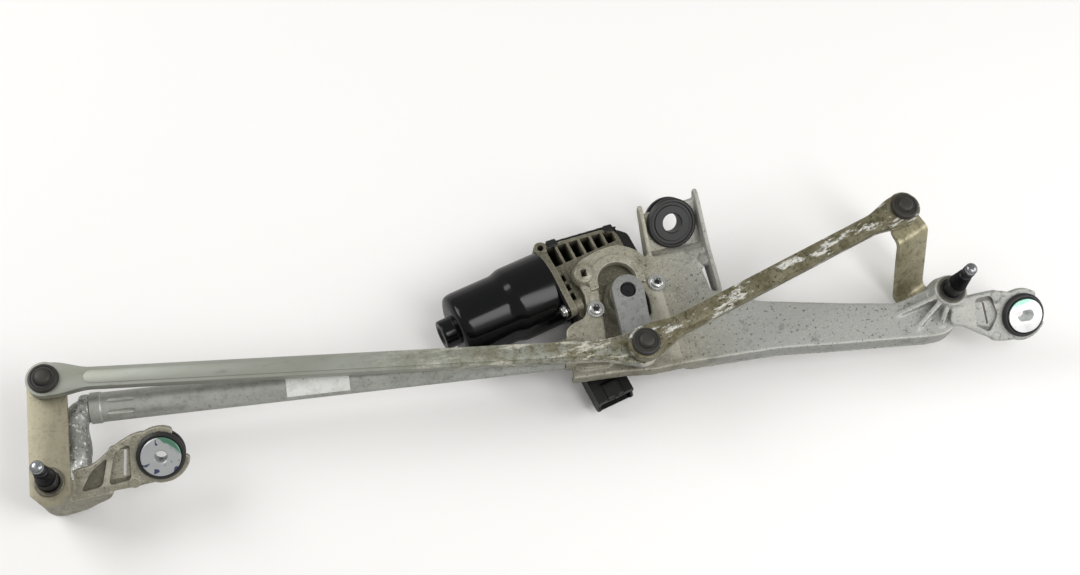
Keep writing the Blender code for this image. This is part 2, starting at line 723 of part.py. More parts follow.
def right_lever_plate():
    """Lever bent twice, from below the right boss up to the link's height."""
    low = RIGHT_LEVER_BOTTOM
    high = RIGHT_LEVER_EYE_BOTTOM
    thick = LEVER_THICKNESS
    eye_end = RIGHT_LEVER_LENGTH + RIGHT_LEVER_WIDTH / 2
    slope = math.atan2(high - low, RIGHT_LEVER_EYE_START - RIGHT_LEVER_FOOT_LENGTH)
    corner = thick * math.tan(slope / 2)
    side = [
        (-RIGHT_LEVER_WIDTH, low),
        (RIGHT_LEVER_FOOT_LENGTH, low),
        (RIGHT_LEVER_EYE_START, high),
        (eye_end, high),
        (eye_end, high + thick),
        (RIGHT_LEVER_EYE_START - corner, high + thick),
        (RIGHT_LEVER_FOOT_LENGTH - corner, low + thick),
        (-RIGHT_LEVER_WIDTH, low + thick),
    ]
    heading = at_plan(RIGHT_SPINDLE) @ Matrix.Rotation(math.radians(RIGHT_LEVER_ANGLE), 4, "Z")
    half = RIGHT_LEVER_WIDTH / 2
    piece = plate([side], -half - OVERLAP, half + OVERLAP, heading @ UPRIGHT)
    plan = capsule(RIGHT_LEVER_LENGTH, half + 1.5 * MM, half)
    combine(piece, "INTERSECT", [plate([plan], low - OVERLAP, high + 2 * thick, heading)])
    hole = cylinder(SPINDLE_RADIUS + GAP, low - OVERLAP, low + thick + OVERLAP, at_plan(RIGHT_SPINDLE))
    return cut(piece, hole)


def seat_outline(opening, mouth_half_angle, steps=12):
    """Open C of the grommet seat, its mouth towards `opening` degrees."""
    start = opening + mouth_half_angle
    end = opening + 360 - mouth_half_angle
    outer = arc((0, 0), SEAT_RADIUS, start, end, steps)
    inner = arc((0, 0), SEAT_BORE_RADIUS, end, start, steps)
    return outer + inner


def arm_plate(matrix, outline, pockets, slot):
    """Tilted arm of a pivot housing: recessed web with raised rims and a through slot."""
    half = SEAT_THICKNESS / 2
    piece = plate([outline], -half, half, matrix)
    tools = [plate([pocket], 0, half + OVERLAP, matrix) for pocket in pockets]
    tools.append(plate([slot], -half - OVERLAP, half + OVERLAP, matrix))
    return piece, tools


def pivot_bush(at, top):
    return ring(SPINDLE_RADIUS + GAP, SPINDLE_RADIUS + BUSH_WALL, top - BUSH_LENGTH, top, at_plan(at))


def bush_bore(at, bottom, top):
    return cylinder(SPINDLE_RADIUS + BUSH_WALL + GAP, bottom, top, at_plan(at), steps=ROUND_STEPS)


def left_pivot_housing():
    """Cast pivot: boss, tilted mounting arm with its open seat, and the neck to the tube."""
    boss_profile = [
        (0, LEFT_BOSS_TOP),
        (LEFT_BOSS_RADIUS - 1 * MM, LEFT_BOSS_TOP),
        (LEFT_BOSS_RADIUS, LEFT_BOSS_TOP - 1 * MM),
        (LEFT_BOSS_RADIUS, LEFT_BOSS_BOTTOM + 12 * MM),
        (LEFT_BOSS_RADIUS - 3 * MM, LEFT_BOSS_BOTTOM),
        (0, LEFT_BOSS_BOTTOM),
    ]
    piece = turned(boss_profile)
    seat_x = LEFT_SEAT_X
    arm = [
        (0, -19 * MM),
        (20 * MM, -21 * MM),
        (34 * MM, -19 * MM),
        (48 * MM, -19.5 * MM),
        (seat_x - 6 * MM, -19.5 * MM),
        (seat_x - 15 * MM, 3 * MM),
        (seat_x - 6 * MM, 19.5 * MM),
        (62 * MM, 19.5 * MM),
        (48 * MM, 15.5 * MM),
        (30 * MM, 4 * MM),
        (10 * MM, 2 * MM),
        (0, 2 * MM),
    ]
    arm = [(x - seat_x, y) for x, y in arm]
    pockets = [
        [(-60.5 * MM, -15 * MM), (-45 * MM, -14.5 * MM), (-37 * MM, 6.5 * MM), (-50 * MM, -1 * MM)],
        [(-40.5 * MM, -14.5 * MM), (-24 * MM, -14 * MM), (-20 * MM, 13 * MM), (-31.5 * MM, 9.5 * MM)],
    ]
    slot = [(-29.5 * MM, -11 * MM), (-27.5 * MM, -11 * MM), (-23 * MM, 9 * MM), (-25 * MM, 9 * MM)]
    plate_piece, tools = arm_plate(LEFT_SEAT, arm, pockets, slot)
    seat = plate([seat_outline(20, 42)], -SEAT_THICKNESS / 2, SEAT_THICKNESS / 2, LEFT_SEAT)
    skirt = [
        (0, -17 * MM),
        (41 * MM, -18 * MM),
        (36 * MM, -32 * MM),
        (27 * MM, -38.5 * MM),
        (17 * MM, -48 * MM),
        (8 * MM, -51 * MM),
        (0, -51 * MM),
    ]
    skirt_plate = plate([skirt], SKIRT_NEAR, SKIRT_NEAR + SKIRT_THICKNESS, UPRIGHT)
    route = [(40, 53.65), (31, 54.2), (24, 51.5), (19.6, 45), (18.2, 36), (19.2, 27), (19, 18), (13, 9), (4, 3)]
    neck = rod([(x * MM, y * MM, TUBE_HEIGHT) for x, y in route], NECK_RADIUS)
    spigot = cylinder(TUBE_RADIUS - TUBE_WALL - GAP, -2 * MM, SPIGOT_LENGTH, TUBE)
    join(piece, plate_piece, seat, skirt_plate, neck, spigot)
    cut(piece, *tools)
    cut(piece, cylinder(SEAT_BORE_RADIUS, -SEAT_THICKNESS, SEAT_THICKNESS, LEFT_SEAT))
    cut(piece, bush_bore(LEFT_SPINDLE, LEFT_BOSS_BOTTOM - OVERLAP, LEFT_BOSS_TOP + OVERLAP))
    return manifold(piece)


def deck_outline():
    """Plate over the gear housing, from the tube socket round to the ear and back."""
    return [
        (389 * MM, -3 * MM),
        (411 * MM, -4.5 * MM),
        (430 * MM, -6 * MM),
        (452 * MM, -9.5 * MM),
        (478 * MM, -9.5 * MM),
        (512 * MM, -11 * MM),
        (514 * MM, 46 * MM),
        (509.5 * MM, 82 * MM),
        (471 * MM, 82 * MM),
        (463.5 * MM, 92 * MM),
        (450 * MM, 98.5 * MM),
        (434 * MM, 96.5 * MM),
        (417 * MM, 90.5 * MM),
        (409 * MM, 82 * MM),
        (414.5 * MM, 62 * MM),
        (413.5 * MM, 53 * MM),
        (410.5 * MM, 43.5 * MM),
        (399 * MM, 41 * MM),
        (392.5 * MM, 36.5 * MM),
    ]


def deck_opening():
    """Arched opening in the plate round the motor's output boss."""
    shape = arc((442.5 * MM, 67 * MM), 15.5 * MM, -10, 175, 8)
    shape += [(424.8 * MM, 48 * MM), (421.5 * MM, 21 * MM), (436 * MM, 20 * MM), (441.5 * MM, 33.5 * MM)]
    shape += [(462 * MM, 34.5 * MM), (463.5 * MM, 50 * MM)]
    return shape


def beam_outline():
    """Tapering beam from the plate to the right pivot boss."""
    return [
        (478 * MM, -9.5 * MM),
        (512 * MM, -11.5 * MM),
        (554 * MM, -14 * MM),
        (602 * MM, -21 * MM),
        (SPINDLE_SPACING - 60 * MM, -26 * MM),
        (SPINDLE_SPACING - 24 * MM, -31 * MM),
        (SPINDLE_SPACING - 12 * MM, -31.5 * MM),
        (SPINDLE_SPACING, -26 * MM),
        (SPINDLE_SPACING + 12 * MM, -10 * MM),
        (SPINDLE_SPACING + 6 * MM, 8 * MM),
        (SPINDLE_SPACING - 10 * MM, 9 * MM),
        (SPINDLE_SPACING - 42 * MM, 2 * MM),
        (613 * MM, 12 * MM),
        (548 * MM, 28 * MM),
        (512 * MM, 46 * MM),
        (478 * MM, 62 * MM),
    ]


GEARBOX_SIDE = 30 * MM
GEARBOX_FAR_END = [
    (TUNNEL_END, -16 * MM),
    (TUNNEL_END, 13 * MM),
    (TUNNEL_END - 7 * MM, 18.5 * MM),
    (TUNNEL_END - 18 * MM, 23.5 * MM),
]
GEARBOX_NEAR = -26 * MM
GEARBOX_SHOULDER = 14 * MM


def gearbox_outline(grow=0.0):
    """Plan of the worm tunnel's side of the gear housing."""
    points = [(CAN_FLANGE_AT, GEARBOX_NEAR), *GEARBOX_FAR_END]
    points += [(CAN_FLANGE_AT + GEARBOX_SHOULDER, GEARBOX_SIDE), (CAN_FLANGE_AT, GEARBOX_SIDE)]
    return inset([beside_motor(along, across) for along, across in points], -grow)


def ear_parts():
    """Tilted seat of the top grommet with the walls that tie it to the plate."""
    half = SEAT_THICKNESS / 2
    width = 23.5 * MM
    reach = 25 * MM
    floor = [(-width, -reach), (width, -reach), (width, 16 * MM), (-width, 10 * MM)]
    floor_plate = plate([floor], -half, half, TOP_SEAT)
    left_x = TOP_SEAT_X - width - EAR_WALL / 2
    right_x = TOP_SEAT_X + width - EAR_WALL / 2
    stand = Matrix(((0, 0, 1, 0), (1, 0, 0, 0), (0, 1, 0, 0), (0, 0, 0, 1)))
    left_side = [
        (74 * MM, EAR_BOTTOM),
        (84 * MM, EAR_BOTTOM),
        (121 * MM, -7 * MM),
        (122 * MM, 1 * MM),
        (117 * MM, 2 * MM),
        (80 * MM, DECK_TOP),
        (74 * MM, DECK_TOP),
    ]
    right_side = [
        (42 * MM, EAR_BOTTOM),
        (84 * MM, EAR_BOTTOM),
        (126 * MM, -4 * MM),
        (127 * MM, 3 * MM),
        (121 * MM, 4 * MM),
        (80 * MM, DECK_TOP + 5 * MM),
        (46 * MM, DECK_TOP + 2 * MM),
        (42 * MM, DECK_TOP),
    ]
    left_wall = plate([left_side], left_x, left_x + EAR_WALL, stand)
    right_wall = plate([right_side], right_x, right_x + EAR_WALL, stand)
    step = box((left_x, EAR_STEP_START, EAR_BOTTOM), (right_x, EAR_STEP_END, DECK_TOP - 1 * MM))
    return floor_plate, left_wall, right_wall, step


def boss_gusset(angle, length):
    """Upright rib that leans on the right boss and runs down to the beam's top."""
    root = RIGHT_BOSS_RADIUS - 4 * MM
    foot = DECK_TOP - BEAM_WEB / 2
    crest = RIGHT_BOSS_TOP - 2.5 * MM
    side = [(root, foot), (length, foot), (length, DECK_TOP + 0.5 * MM), (RIGHT_BOSS_RADIUS, crest), (root, crest)]
    half = GUSSET_THICKNESS / 2
    heading = at_plan(RIGHT_SPINDLE) @ Matrix.Rotation(math.radians(angle), 4, "Z")
    return plate([side], -half, half, heading @ UPRIGHT)


def motor_frame():
    """Cast frame: plate over the gearbox, ear, beam, right pivot boss and right mounting arm."""
    deck_bottom = DECK_TOP - DECK_THICKNESS
    beam_bottom = DECK_TOP - BEAM_DEPTH
    piece = plate([deck_outline(), deck_opening()], deck_bottom, DECK_TOP)
    beam = plate([beam_outline()], beam_bottom, DECK_TOP)
    cut(beam, plate([inset(beam_outline(), BEAM_WALL)], beam_bottom - OVERLAP, DECK_TOP - BEAM_WEB))
    rim = plate(
        [[(389 * MM, -3 * MM), (411 * MM, -4.5 * MM), (430 * MM, -6 * MM), (452 * MM, -9.5 * MM),
          (482 * MM, -9.8 * MM), (482 * MM, -6 * MM), (452 * MM, -5.5 * MM), (430 * MM, -2 * MM),
          (411 * MM, -0.5 * MM), (389 * MM, 1 * MM)]],
        beam_bottom + 3 * MM,
        DECK_TOP,
    )
    socket = cylinder(TUBE_RADIUS + 1 * MM, TUBE_LENGTH + GAP, TUBE_LENGTH + 16 * MM, TUBE)
    spigot = cylinder(TUBE_RADIUS - TUBE_WALL - GAP, TUBE_LENGTH - SPIGOT_LENGTH, TUBE_LENGTH + 2 * MM, TUBE)
    boss_profile = [
        (0, RIGHT_BOSS_TOP),
        (RIGHT_BOSS_RADIUS - 1.5 * MM, RIGHT_BOSS_TOP),
        (RIGHT_BOSS_RADIUS, RIGHT_BOSS_TOP - 1.5 * MM),
        (RIGHT_BOSS_RADIUS, DECK_TOP - BEAM_DEPTH),
        (RIGHT_BOSS_RADIUS - 3 * MM, RIGHT_BOSS_BOTTOM),
        (0, RIGHT_BOSS_BOTTOM),
    ]
    boss = turned(boss_profile, at_plan(RIGHT_SPINDLE))
    arm = [
        (-62 * MM, 4 * MM),
        (-50 * MM, 0),
        (-38 * MM, -8 * MM),
        (-22 * MM, -18 * MM),
        (-6 * MM, -19.5 * MM),
        (-15 * MM, 3 * MM),
        (-6 * MM, 19.5 * MM),
        (-22 * MM, 24 * MM),
        (-40 * MM, 24 * MM),
        (-58 * MM, 21 * MM),
    ]
    pockets = [[(-37 * MM, 1 * MM), (-29 * MM, -6 * MM), (-22.5 * MM, 5 * MM), (-26 * MM, 19 * MM), (-37 * MM, 19 * MM)]]
    slot = [(-30.5 * MM, -2 * MM), (-28.5 * MM, -2 * MM), (-30.5 * MM, 16 * MM), (-32.5 * MM, 16 * MM)]
    arm_piece, arm_tools = arm_plate(RIGHT_SEAT, arm, pockets, slot)
    seat = plate([seat_outline(10, 40)], -SEAT_THICKNESS / 2, SEAT_THICKNESS / 2, RIGHT_SEAT)
    tower = turned(
        [(0, -8 * MM), (5.5 * MM, -8 * MM), (8.5 * MM, DECK_TOP), (8.5 * MM, deck_bottom + 1 * MM), (0, deck_bottom + 1 * MM)],
        at_plan(TOWER),
        steps=HOLE_STEPS,
    )
    clearance = HOUSING_RADIUS + 2 * GAP
    room = cylinder(clearance, beam_bottom - 2 * OVERLAP, deck_bottom - GAP, at_plan(SHAFT), steps=CAN_STEPS)
    tunnel_room = plate([gearbox_outline(2 * GAP)], beam_bottom - 2 * OVERLAP, deck_bottom - GAP)
    gussets = [boss_gusset(angle, length) for angle, length in GUSSETS]
    join(piece, beam, rim, socket, spigot, boss, arm_piece, seat, tower, *gussets, *ear_parts())
    cut(piece, room, tunnel_room, *arm_tools)
    cut(piece, cylinder(SEAT_BORE_RADIUS, -SEAT_THICKNESS, SEAT_THICKNESS, RIGHT_SEAT))
    cut(piece, cylinder(TOP_SEAT_BORE_RADIUS, -SEAT_THICKNESS, SEAT_THICKNESS, TOP_SEAT))
    mouth = TOP_SEAT_BORE_RADIUS * 0.86
    cut(piece, box((-mouth, 0, -SEAT_THICKNESS), (mouth, 30 * MM, SEAT_THICKNESS), TOP_SEAT))
    cut(piece, bush_bore(RIGHT_SPINDLE, RIGHT_BOSS_BOTTOM - OVERLAP, RIGHT_BOSS_TOP + OVERLAP))
    hole = box((-2 * MM, -2 * MM, -20 * MM), (2 * MM, 2 * MM, 0), at_plan(TOWER))
    cut(piece, hole)
    for angle in MOUNT_SCREW_ANGLES:
        at = polar(MOUNT_SCREW_CIRCLE, angle, SHAFT)
        cut(piece, cylinder(MOUNT_SCREW_SHANK + 2 * GAP, -20 * MM, 0, at_plan(at), steps=HOLE_STEPS))
    return manifold(piece)


def frame_tube():
    """Steel tube with a collar at the left and crimps that lock it on both spigots."""
    inner = TUBE_RADIUS - TUBE_WALL
    profile = [
        (TUBE_RADIUS, TUBE_LENGTH),
        (TUBE_RADIUS, TUBE_COLLAR_LENGTH),
        (TUBE_COLLAR_RADIUS, TUBE_COLLAR_LENGTH - 1 * MM),
        (TUBE_COLLAR_RADIUS, 0),
        (inner, 0),
        (inner, TUBE_LENGTH),
    ]
    piece = turned(profile, TUBE, ring=True)
    offset = TUBE_RADIUS + CRIMP_RADIUS - CRIMP_DEPTH
    for start in (CRIMP_START, TUBE_LENGTH - CRIMP_START - CRIMP_LENGTH):
        for angle in (150, 210):
            x, y = polar(offset, angle)
            cut(piece, cylinder(CRIMP_RADIUS, start, start + CRIMP_LENGTH, TUBE @ shift(x, y, 0), steps=HOLE_STEPS))
    return manifold(piece)


def crank_arm():
    outline = turned_by(capsule(CRANK_RADIUS, CRANK_SHAFT_END_RADIUS, CRANK_PIN_END_RADIUS, 6), CRANK_ANGLE, SHAFT)
    holes = [circle(SHAFT, OUTPUT_SHAFT_RADIUS + GAP, 12), circle(PIN, STUD_SHANK_RADIUS + GAP, 12)]
    return plate([outline, *holes], CRANK_BOTTOM, CRANK_TOP)


def wheel_ring(height, turn):
    """Tooth outline of the worm wheel at one height, an involute tooth repeated round it."""
    base = WHEEL_PITCH_RADIUS * math.cos(math.radians(PRESSURE_ANGLE))
    root = WHEEL_PITCH_RADIUS - 1.25 * GEAR_MODULE
    tip = WHEEL_PITCH_RADIUS + GEAR_MODULE
    half_at_pitch = (math.pi * GEAR_MODULE / 4 - TOOTH_PLAY / 2) / WHEEL_PITCH_RADIUS
    at_pitch = math.tan(math.radians(PRESSURE_ANGLE)) - math.radians(PRESSURE_ANGLE)
    flank = []
    for radius in (root, tip):
        pressure = math.acos(min(1.0, base / radius))
        flank.append((radius, half_at_pitch + at_pitch - (math.tan(pressure) - pressure)))
    points = []
    pitch_angle = 2 * math.pi / WHEEL_TEETH
    first = math.radians(MOTOR_ANGLE + 90) + pitch_angle / 2 + turn
    for tooth in range(WHEEL_TEETH):
        middle = first + tooth * pitch_angle
        for radius, half in flank:
            points.append((radius, middle - half))
        for radius, half in reversed(flank):
            points.append((radius, middle + half))
    return [
        (SHAFT_X + radius * math.cos(angle), SHAFT_Y + radius * math.sin(angle), height) for radius, angle in points
    ]


def worm_wheel():
    """Moulded wheel with slanted teeth, a thin web and a hub."""
    half = WHEEL_WIDTH / 2
    slant = WORM_LEAD / (2 * math.pi * WORM_PITCH_RADIUS) / WHEEL_PITCH_RADIUS
    heights = [MOTOR_AXIS_HEIGHT - half, MOTOR_AXIS_HEIGHT + half]
    piece = loft([wheel_ring(height, slant * (height - MOTOR_AXIS_HEIGHT)) for height in heights])
    recess = 2.6 * MM
    rim = WHEEL_PITCH_RADIUS - 6 * MM
    hub = 11 * MM
    top = MOTOR_AXIS_HEIGHT + half
    bottom = MOTOR_AXIS_HEIGHT - half
    cut(piece, ring(hub, rim, top - recess, top + OVERLAP, at_plan(SHAFT)))
    cut(piece, ring(hub, rim, bottom - OVERLAP, bottom + recess, at_plan(SHAFT)))
    cut(piece, cylinder(OUTPUT_SHAFT_RADIUS + GAP, bottom - OVERLAP, top + OVERLAP, at_plan(SHAFT), steps=ROUND_STEPS))
    return piece


def worm_thread():
    """The worm's single right-hand thread, swept along its helix."""
    tip = WORM_PITCH_RADIUS + GEAR_MODULE
    foot = WORM_PITCH_RADIUS - 1.25 * GEAR_MODULE - 0.5 * MM
    lean = math.tan(math.radians(PRESSURE_ANGLE))
    half_at_pitch = math.pi * GEAR_MODULE / 4 - TOOTH_PLAY / 2
    turns = WORM_LENGTH / WORM_LEAD
    count = int(round(turns * WORM_STEPS))
    rings = []
    for i in range(count + 1):
        turn = (i / WORM_STEPS - turns / 2) * 2 * math.pi
        angle = math.pi + turn
        middle = CAN_TO_WORM + WORM_LEAD * turn / (2 * math.pi)
        section = []
        for radius, side in ((foot, -1), (foot, 1), (tip, 1), (tip, -1)):
            half = half_at_pitch - (radius - WORM_PITCH_RADIUS) * lean
            section.append((radius * math.cos(angle), radius * math.sin(angle), middle + side * half))
        rings.append(section)
    return loft(rings, MOTOR)


def armature_shaft():
    """Motor shaft with the worm cut on its gearbox end."""
    worm_root = WORM_PITCH_RADIUS - 1.25 * GEAR_MODULE
    worm_start = CAN_TO_WORM - WORM_LENGTH / 2 - 3 * MM
    worm_end = CAN_TO_WORM + WORM_LENGTH / 2 + 3 * MM
    end = TUNNEL_END - HOUSING_WALL - 1 * MM
    start = 2.5 * MM
    profile = [
        (0, end),
        (MOTOR_SHAFT_RADIUS - 1 * MM, end),
        (MOTOR_SHAFT_RADIUS, end - 1 * MM),
        (MOTOR_SHAFT_RADIUS, worm_end),
        (worm_root, worm_end),
        (worm_root, worm_start),
        (MOTOR_SHAFT_RADIUS, worm_start),
        (MOTOR_SHAFT_RADIUS, start),
        (0, start),
    ]
    return join(turned(profile, MOTOR, steps=10), worm_thread())


ARMATURE_SLOTS = 8
CORE_RADIUS = 20.8 * MM
CORE_HUB = 10 * MM
CORE_START = 24 * MM
CORE_END = 56 * MM
SLOT_HALF_WIDTH = 2.6 * MM
SLOT_TOP = 18.3 * MM
COIL_OVERHANG = 7 * MM
COMMUTATOR_RADIUS = 9 * MM
COMMUTATOR_START = 66 * MM
COMMUTATOR_END = 79 * MM
MAGNET_THICKNESS = 4.2 * MM
MAGNET_SPAN = 130.0


def core_slots(grow, tip):
    """Outlines of the armature's slots, each a bar that widens outwards."""
    slots = []
    for i in range(ARMATURE_SLOTS):
        narrow = SLOT_HALF_WIDTH * 0.55 + grow
        wide = SLOT_HALF_WIDTH * 1.35 + grow
        bar = [(CORE_HUB - grow, -narrow), (tip, -wide), (tip, wide), (CORE_HUB - grow, narrow)]
        slots.append(turned_by(bar, 360 * i / ARMATURE_SLOTS))
    return slots


def armature_core():
    """Laminated core: a hub with winding slots, each open at the rim by a narrow throat."""
    piece = plate([circle((0, 0), CORE_RADIUS, 20), circle((0, 0), MOTOR_SHAFT_RADIUS + GAP, 12)],
                  CORE_START, CORE_END, MOTOR)
    slots = plate(core_slots(GAP, SLOT_TOP + GAP), CORE_START - OVERLAP, CORE_END + OVERLAP, MOTOR)
    throats = []
    for i in range(ARMATURE_SLOTS):
        throat = [(SLOT_TOP - 1 * MM, -1 * MM), (CORE_RADIUS + OVERLAP, -1 * MM)]
        throat += [(CORE_RADIUS + OVERLAP, 1 * MM), (SLOT_TOP - 1 * MM, 1 * MM)]
        throats.append(turned_by(throat, 360 * i / ARMATURE_SLOTS))
    cut(piece, slots, plate(throats, CORE_START - OVERLAP, CORE_END + OVERLAP, MOTOR))
    return piece


def armature_winding():
    """Copper winding: bars through the slots, joined by the coil heads at both ends."""
    inner = CORE_HUB - 2.5 * MM
    outer = SLOT_TOP - 0.5 * MM
    piece = ring(inner, outer, CORE_START - COIL_OVERHANG, CORE_START - GAP, MOTOR)
    head = ring(inner, outer, CORE_END + GAP, CORE_END + COIL_OVERHANG, MOTOR)
    bars = plate(core_slots(0, SLOT_TOP), CORE_START - 2 * MM, CORE_END + 2 * MM, MOTOR)
    return join(piece, head, bars)


def commutator():
    piece = ring(MOTOR_SHAFT_RADIUS + GAP, COMMUTATOR_RADIUS, COMMUTATOR_START, COMMUTATOR_END, MOTOR)
    cuts = []
    for i in range(ARMATURE_SLOTS):
        bar = [(COMMUTATOR_RADIUS - 1 * MM, -0.4 * MM), (COMMUTATOR_RADIUS + OVERLAP, -0.4 * MM)]
        bar += [(COMMUTATOR_RADIUS + OVERLAP, 0.4 * MM), (COMMUTATOR_RADIUS - 1 * MM, 0.4 * MM)]
        cuts.append(turned_by(bar, 360 * i / ARMATURE_SLOTS))
    cut(piece, plate(cuts, COMMUTATOR_START - OVERLAP, COMMUTATOR_END + OVERLAP, MOTOR))
    return piece


def magnet(middle):
    inner = CORE_RADIUS + 0.8 * MM
    outer = CAN_NOSE_RADIUS - CAN_WALL - 2 * GAP
    start = middle - MAGNET_SPAN / 2
    end = middle + MAGNET_SPAN / 2
    shape = arc((0, 0), outer, start, end, 8) + arc((0, 0), inner, end, start, 8)
    return plate([shape], CORE_START - 4 * MM, CORE_END, MOTOR)


BRUSH_WIDTH = 6 * MM
BRUSH_HEIGHT = 7 * MM
BRUSH_LENGTH = 9 * MM
HOLDER_START = 82 * MM
HOLDER_END = 86 * MM
HOLDER_INNER = 11 * MM
GUIDE_START = 12 * MM
GUIDE_END = 24 * MM
GUIDE_HALF_WIDTH = 5 * MM


def brush_box(side, grow, start, end):
    """Box of one brush, on either side of the commutator."""
    inner = COMMUTATOR_RADIUS + GAP
    low = inner if side > 0 else -inner - BRUSH_LENGTH
    high = inner + BRUSH_LENGTH if side > 0 else -inner
    middle = (COMMUTATOR_START + COMMUTATOR_END) / 2
    half = BRUSH_HEIGHT / 2
    return box(
        (low + start * side if side > 0 else low - end, -BRUSH_WIDTH / 2 - grow, middle - half - grow),
        (high + end if side > 0 else high - start, BRUSH_WIDTH / 2 + grow, middle + half + grow),
        MOTOR,
    )


def brush_holder():
    """Plastic ring with the two brush boxes."""
    outer = CAN_RADIUS - CAN_WALL - 2 * GAP
    piece = ring(HOLDER_INNER, outer, HOLDER_START, HOLDER_END, MOTOR, steps=ROUND_STEPS)
    for side in (-1, 1):
        low = GUIDE_START if side > 0 else -GUIDE_END
        high = GUIDE_END if side > 0 else -GUIDE_START
        guide = box((low, -GUIDE_HALF_WIDTH, COMMUTATOR_START), (high, GUIDE_HALF_WIDTH, HOLDER_START + 1 * MM), MOTOR)
        join(piece, guide)
        cut(piece, brush_box(side, GAP, 0, 2 * MM))
    return piece


def motor_can():
    """Deep-drawn steel can with a bearing boss, a stepped body and a flange with two ears."""
    inner_nose = CAN_NOSE_RADIUS - CAN_WALL
    inner = CAN_RADIUS - CAN_WALL
    boss_inner = CAN_BOSS_RADIUS - CAN_WALL
    flange_bottom = CAN_FLANGE_AT - CAN_FLANGE_THICKNESS
    inside = [
        (0, CAN_WALL),
        (boss_inner, CAN_WALL),
        (boss_inner, CAN_BOSS_LENGTH + CAN_WALL),
        (CAN_NOSE_RADIUS - 6 * MM, CAN_BOSS_LENGTH + CAN_WALL),
        (inner_nose, CAN_BOSS_LENGTH + 6 * MM),
        (inner_nose, CAN_STEP_AT),
        (inner, CAN_STEP_AT + 5 * MM),
        (inner, CAN_FLANGE_AT),
    ]
    outside = [
        (CAN_RADIUS, CAN_FLANGE_AT),
        (CAN_RADIUS, CAN_STEP_AT + 3 * MM),
        (CAN_NOSE_RADIUS, CAN_STEP_AT - 3 * MM),
        (CAN_NOSE_RADIUS, CAN_BOSS_LENGTH + 6 * MM),
        (CAN_NOSE_RADIUS - 1.8 * MM, CAN_BOSS_LENGTH + 2 * MM),
        (CAN_NOSE_RADIUS - 6 * MM, CAN_BOSS_LENGTH),
        (CAN_BOSS_RADIUS, CAN_BOSS_LENGTH),
        (CAN_BOSS_RADIUS, 1.5 * MM),
        (CAN_BOSS_RADIUS - 1.5 * MM, 0),
        (0, 0),
    ]
    piece = turned(inside + outside, MOTOR, steps=CAN_STEPS)
    for angle in CAN_SCREW_ANGLES:
        x, y = polar(CAN_SCREW_RADIUS, angle)
        ear = cylinder(CAN_EAR_RADIUS, flange_bottom, CAN_FLANGE_AT, MOTOR @ shift(x, y, 0), steps=SMALL_STEPS)
        join(piece, ear)
    for angle in CAN_SCREW_ANGLES:
        x, y = polar(CAN_SCREW_RADIUS, angle)
        place = MOTOR @ shift(x, y, 0)
        bottom = flange_bottom - OVERLAP
        cut(piece, cylinder(CAN_SCREW_SHANK + GAP, bottom, CAN_FLANGE_AT + OVERLAP, place, steps=HOLE_STEPS))
    return manifold(piece)


def can_screw(angle):
    """Hexagon screw from the can's ear into the housing flange."""
    x, y = polar(CAN_SCREW_RADIUS, angle)
    place = MOTOR @ shift(x, y, 0)
    seat = CAN_FLANGE_AT - CAN_FLANGE_THICKNESS - GAP
    head = plate([circle((0, 0), CAN_SCREW_HEAD, 6)], seat - 3 * MM, seat, place)
    shank = cylinder(CAN_SCREW_SHANK, seat - 1 * MM, CAN_FLANGE_AT + 9 * MM, place, steps=HOLE_STEPS)
    return join(head, shank)


def mount_screw(angle):
    """Pan-head screw with a flange and a six-sided drive."""
    at = polar(MOUNT_SCREW_CIRCLE, angle, SHAFT)
    seat = DECK_TOP + GAP
    crown = seat + MOUNT_SCREW_HEAD
    end = HOUSING_TOP - HOUSING_WALL + 0.5 * MM
    profile = [
        (0, crown),
        (MOUNT_SCREW_HEAD_RADIUS - 3 * MM, crown),
        (MOUNT_SCREW_HEAD_RADIUS - 1 * MM, crown - 1.4 * MM),
        (MOUNT_SCREW_HEAD_RADIUS, seat + 1.2 * MM),
        (MOUNT_SCREW_HEAD_RADIUS, seat),
        (MOUNT_SCREW_SHANK, seat),
        (MOUNT_SCREW_SHANK, end),
        (0, end),
    ]
    piece = turned(profile, at_plan(at), steps=SMALL_STEPS)
    return cut(piece, plate([circle(at, 2.7 * MM, 6)], crown - 2.4 * MM, crown + OVERLAP))


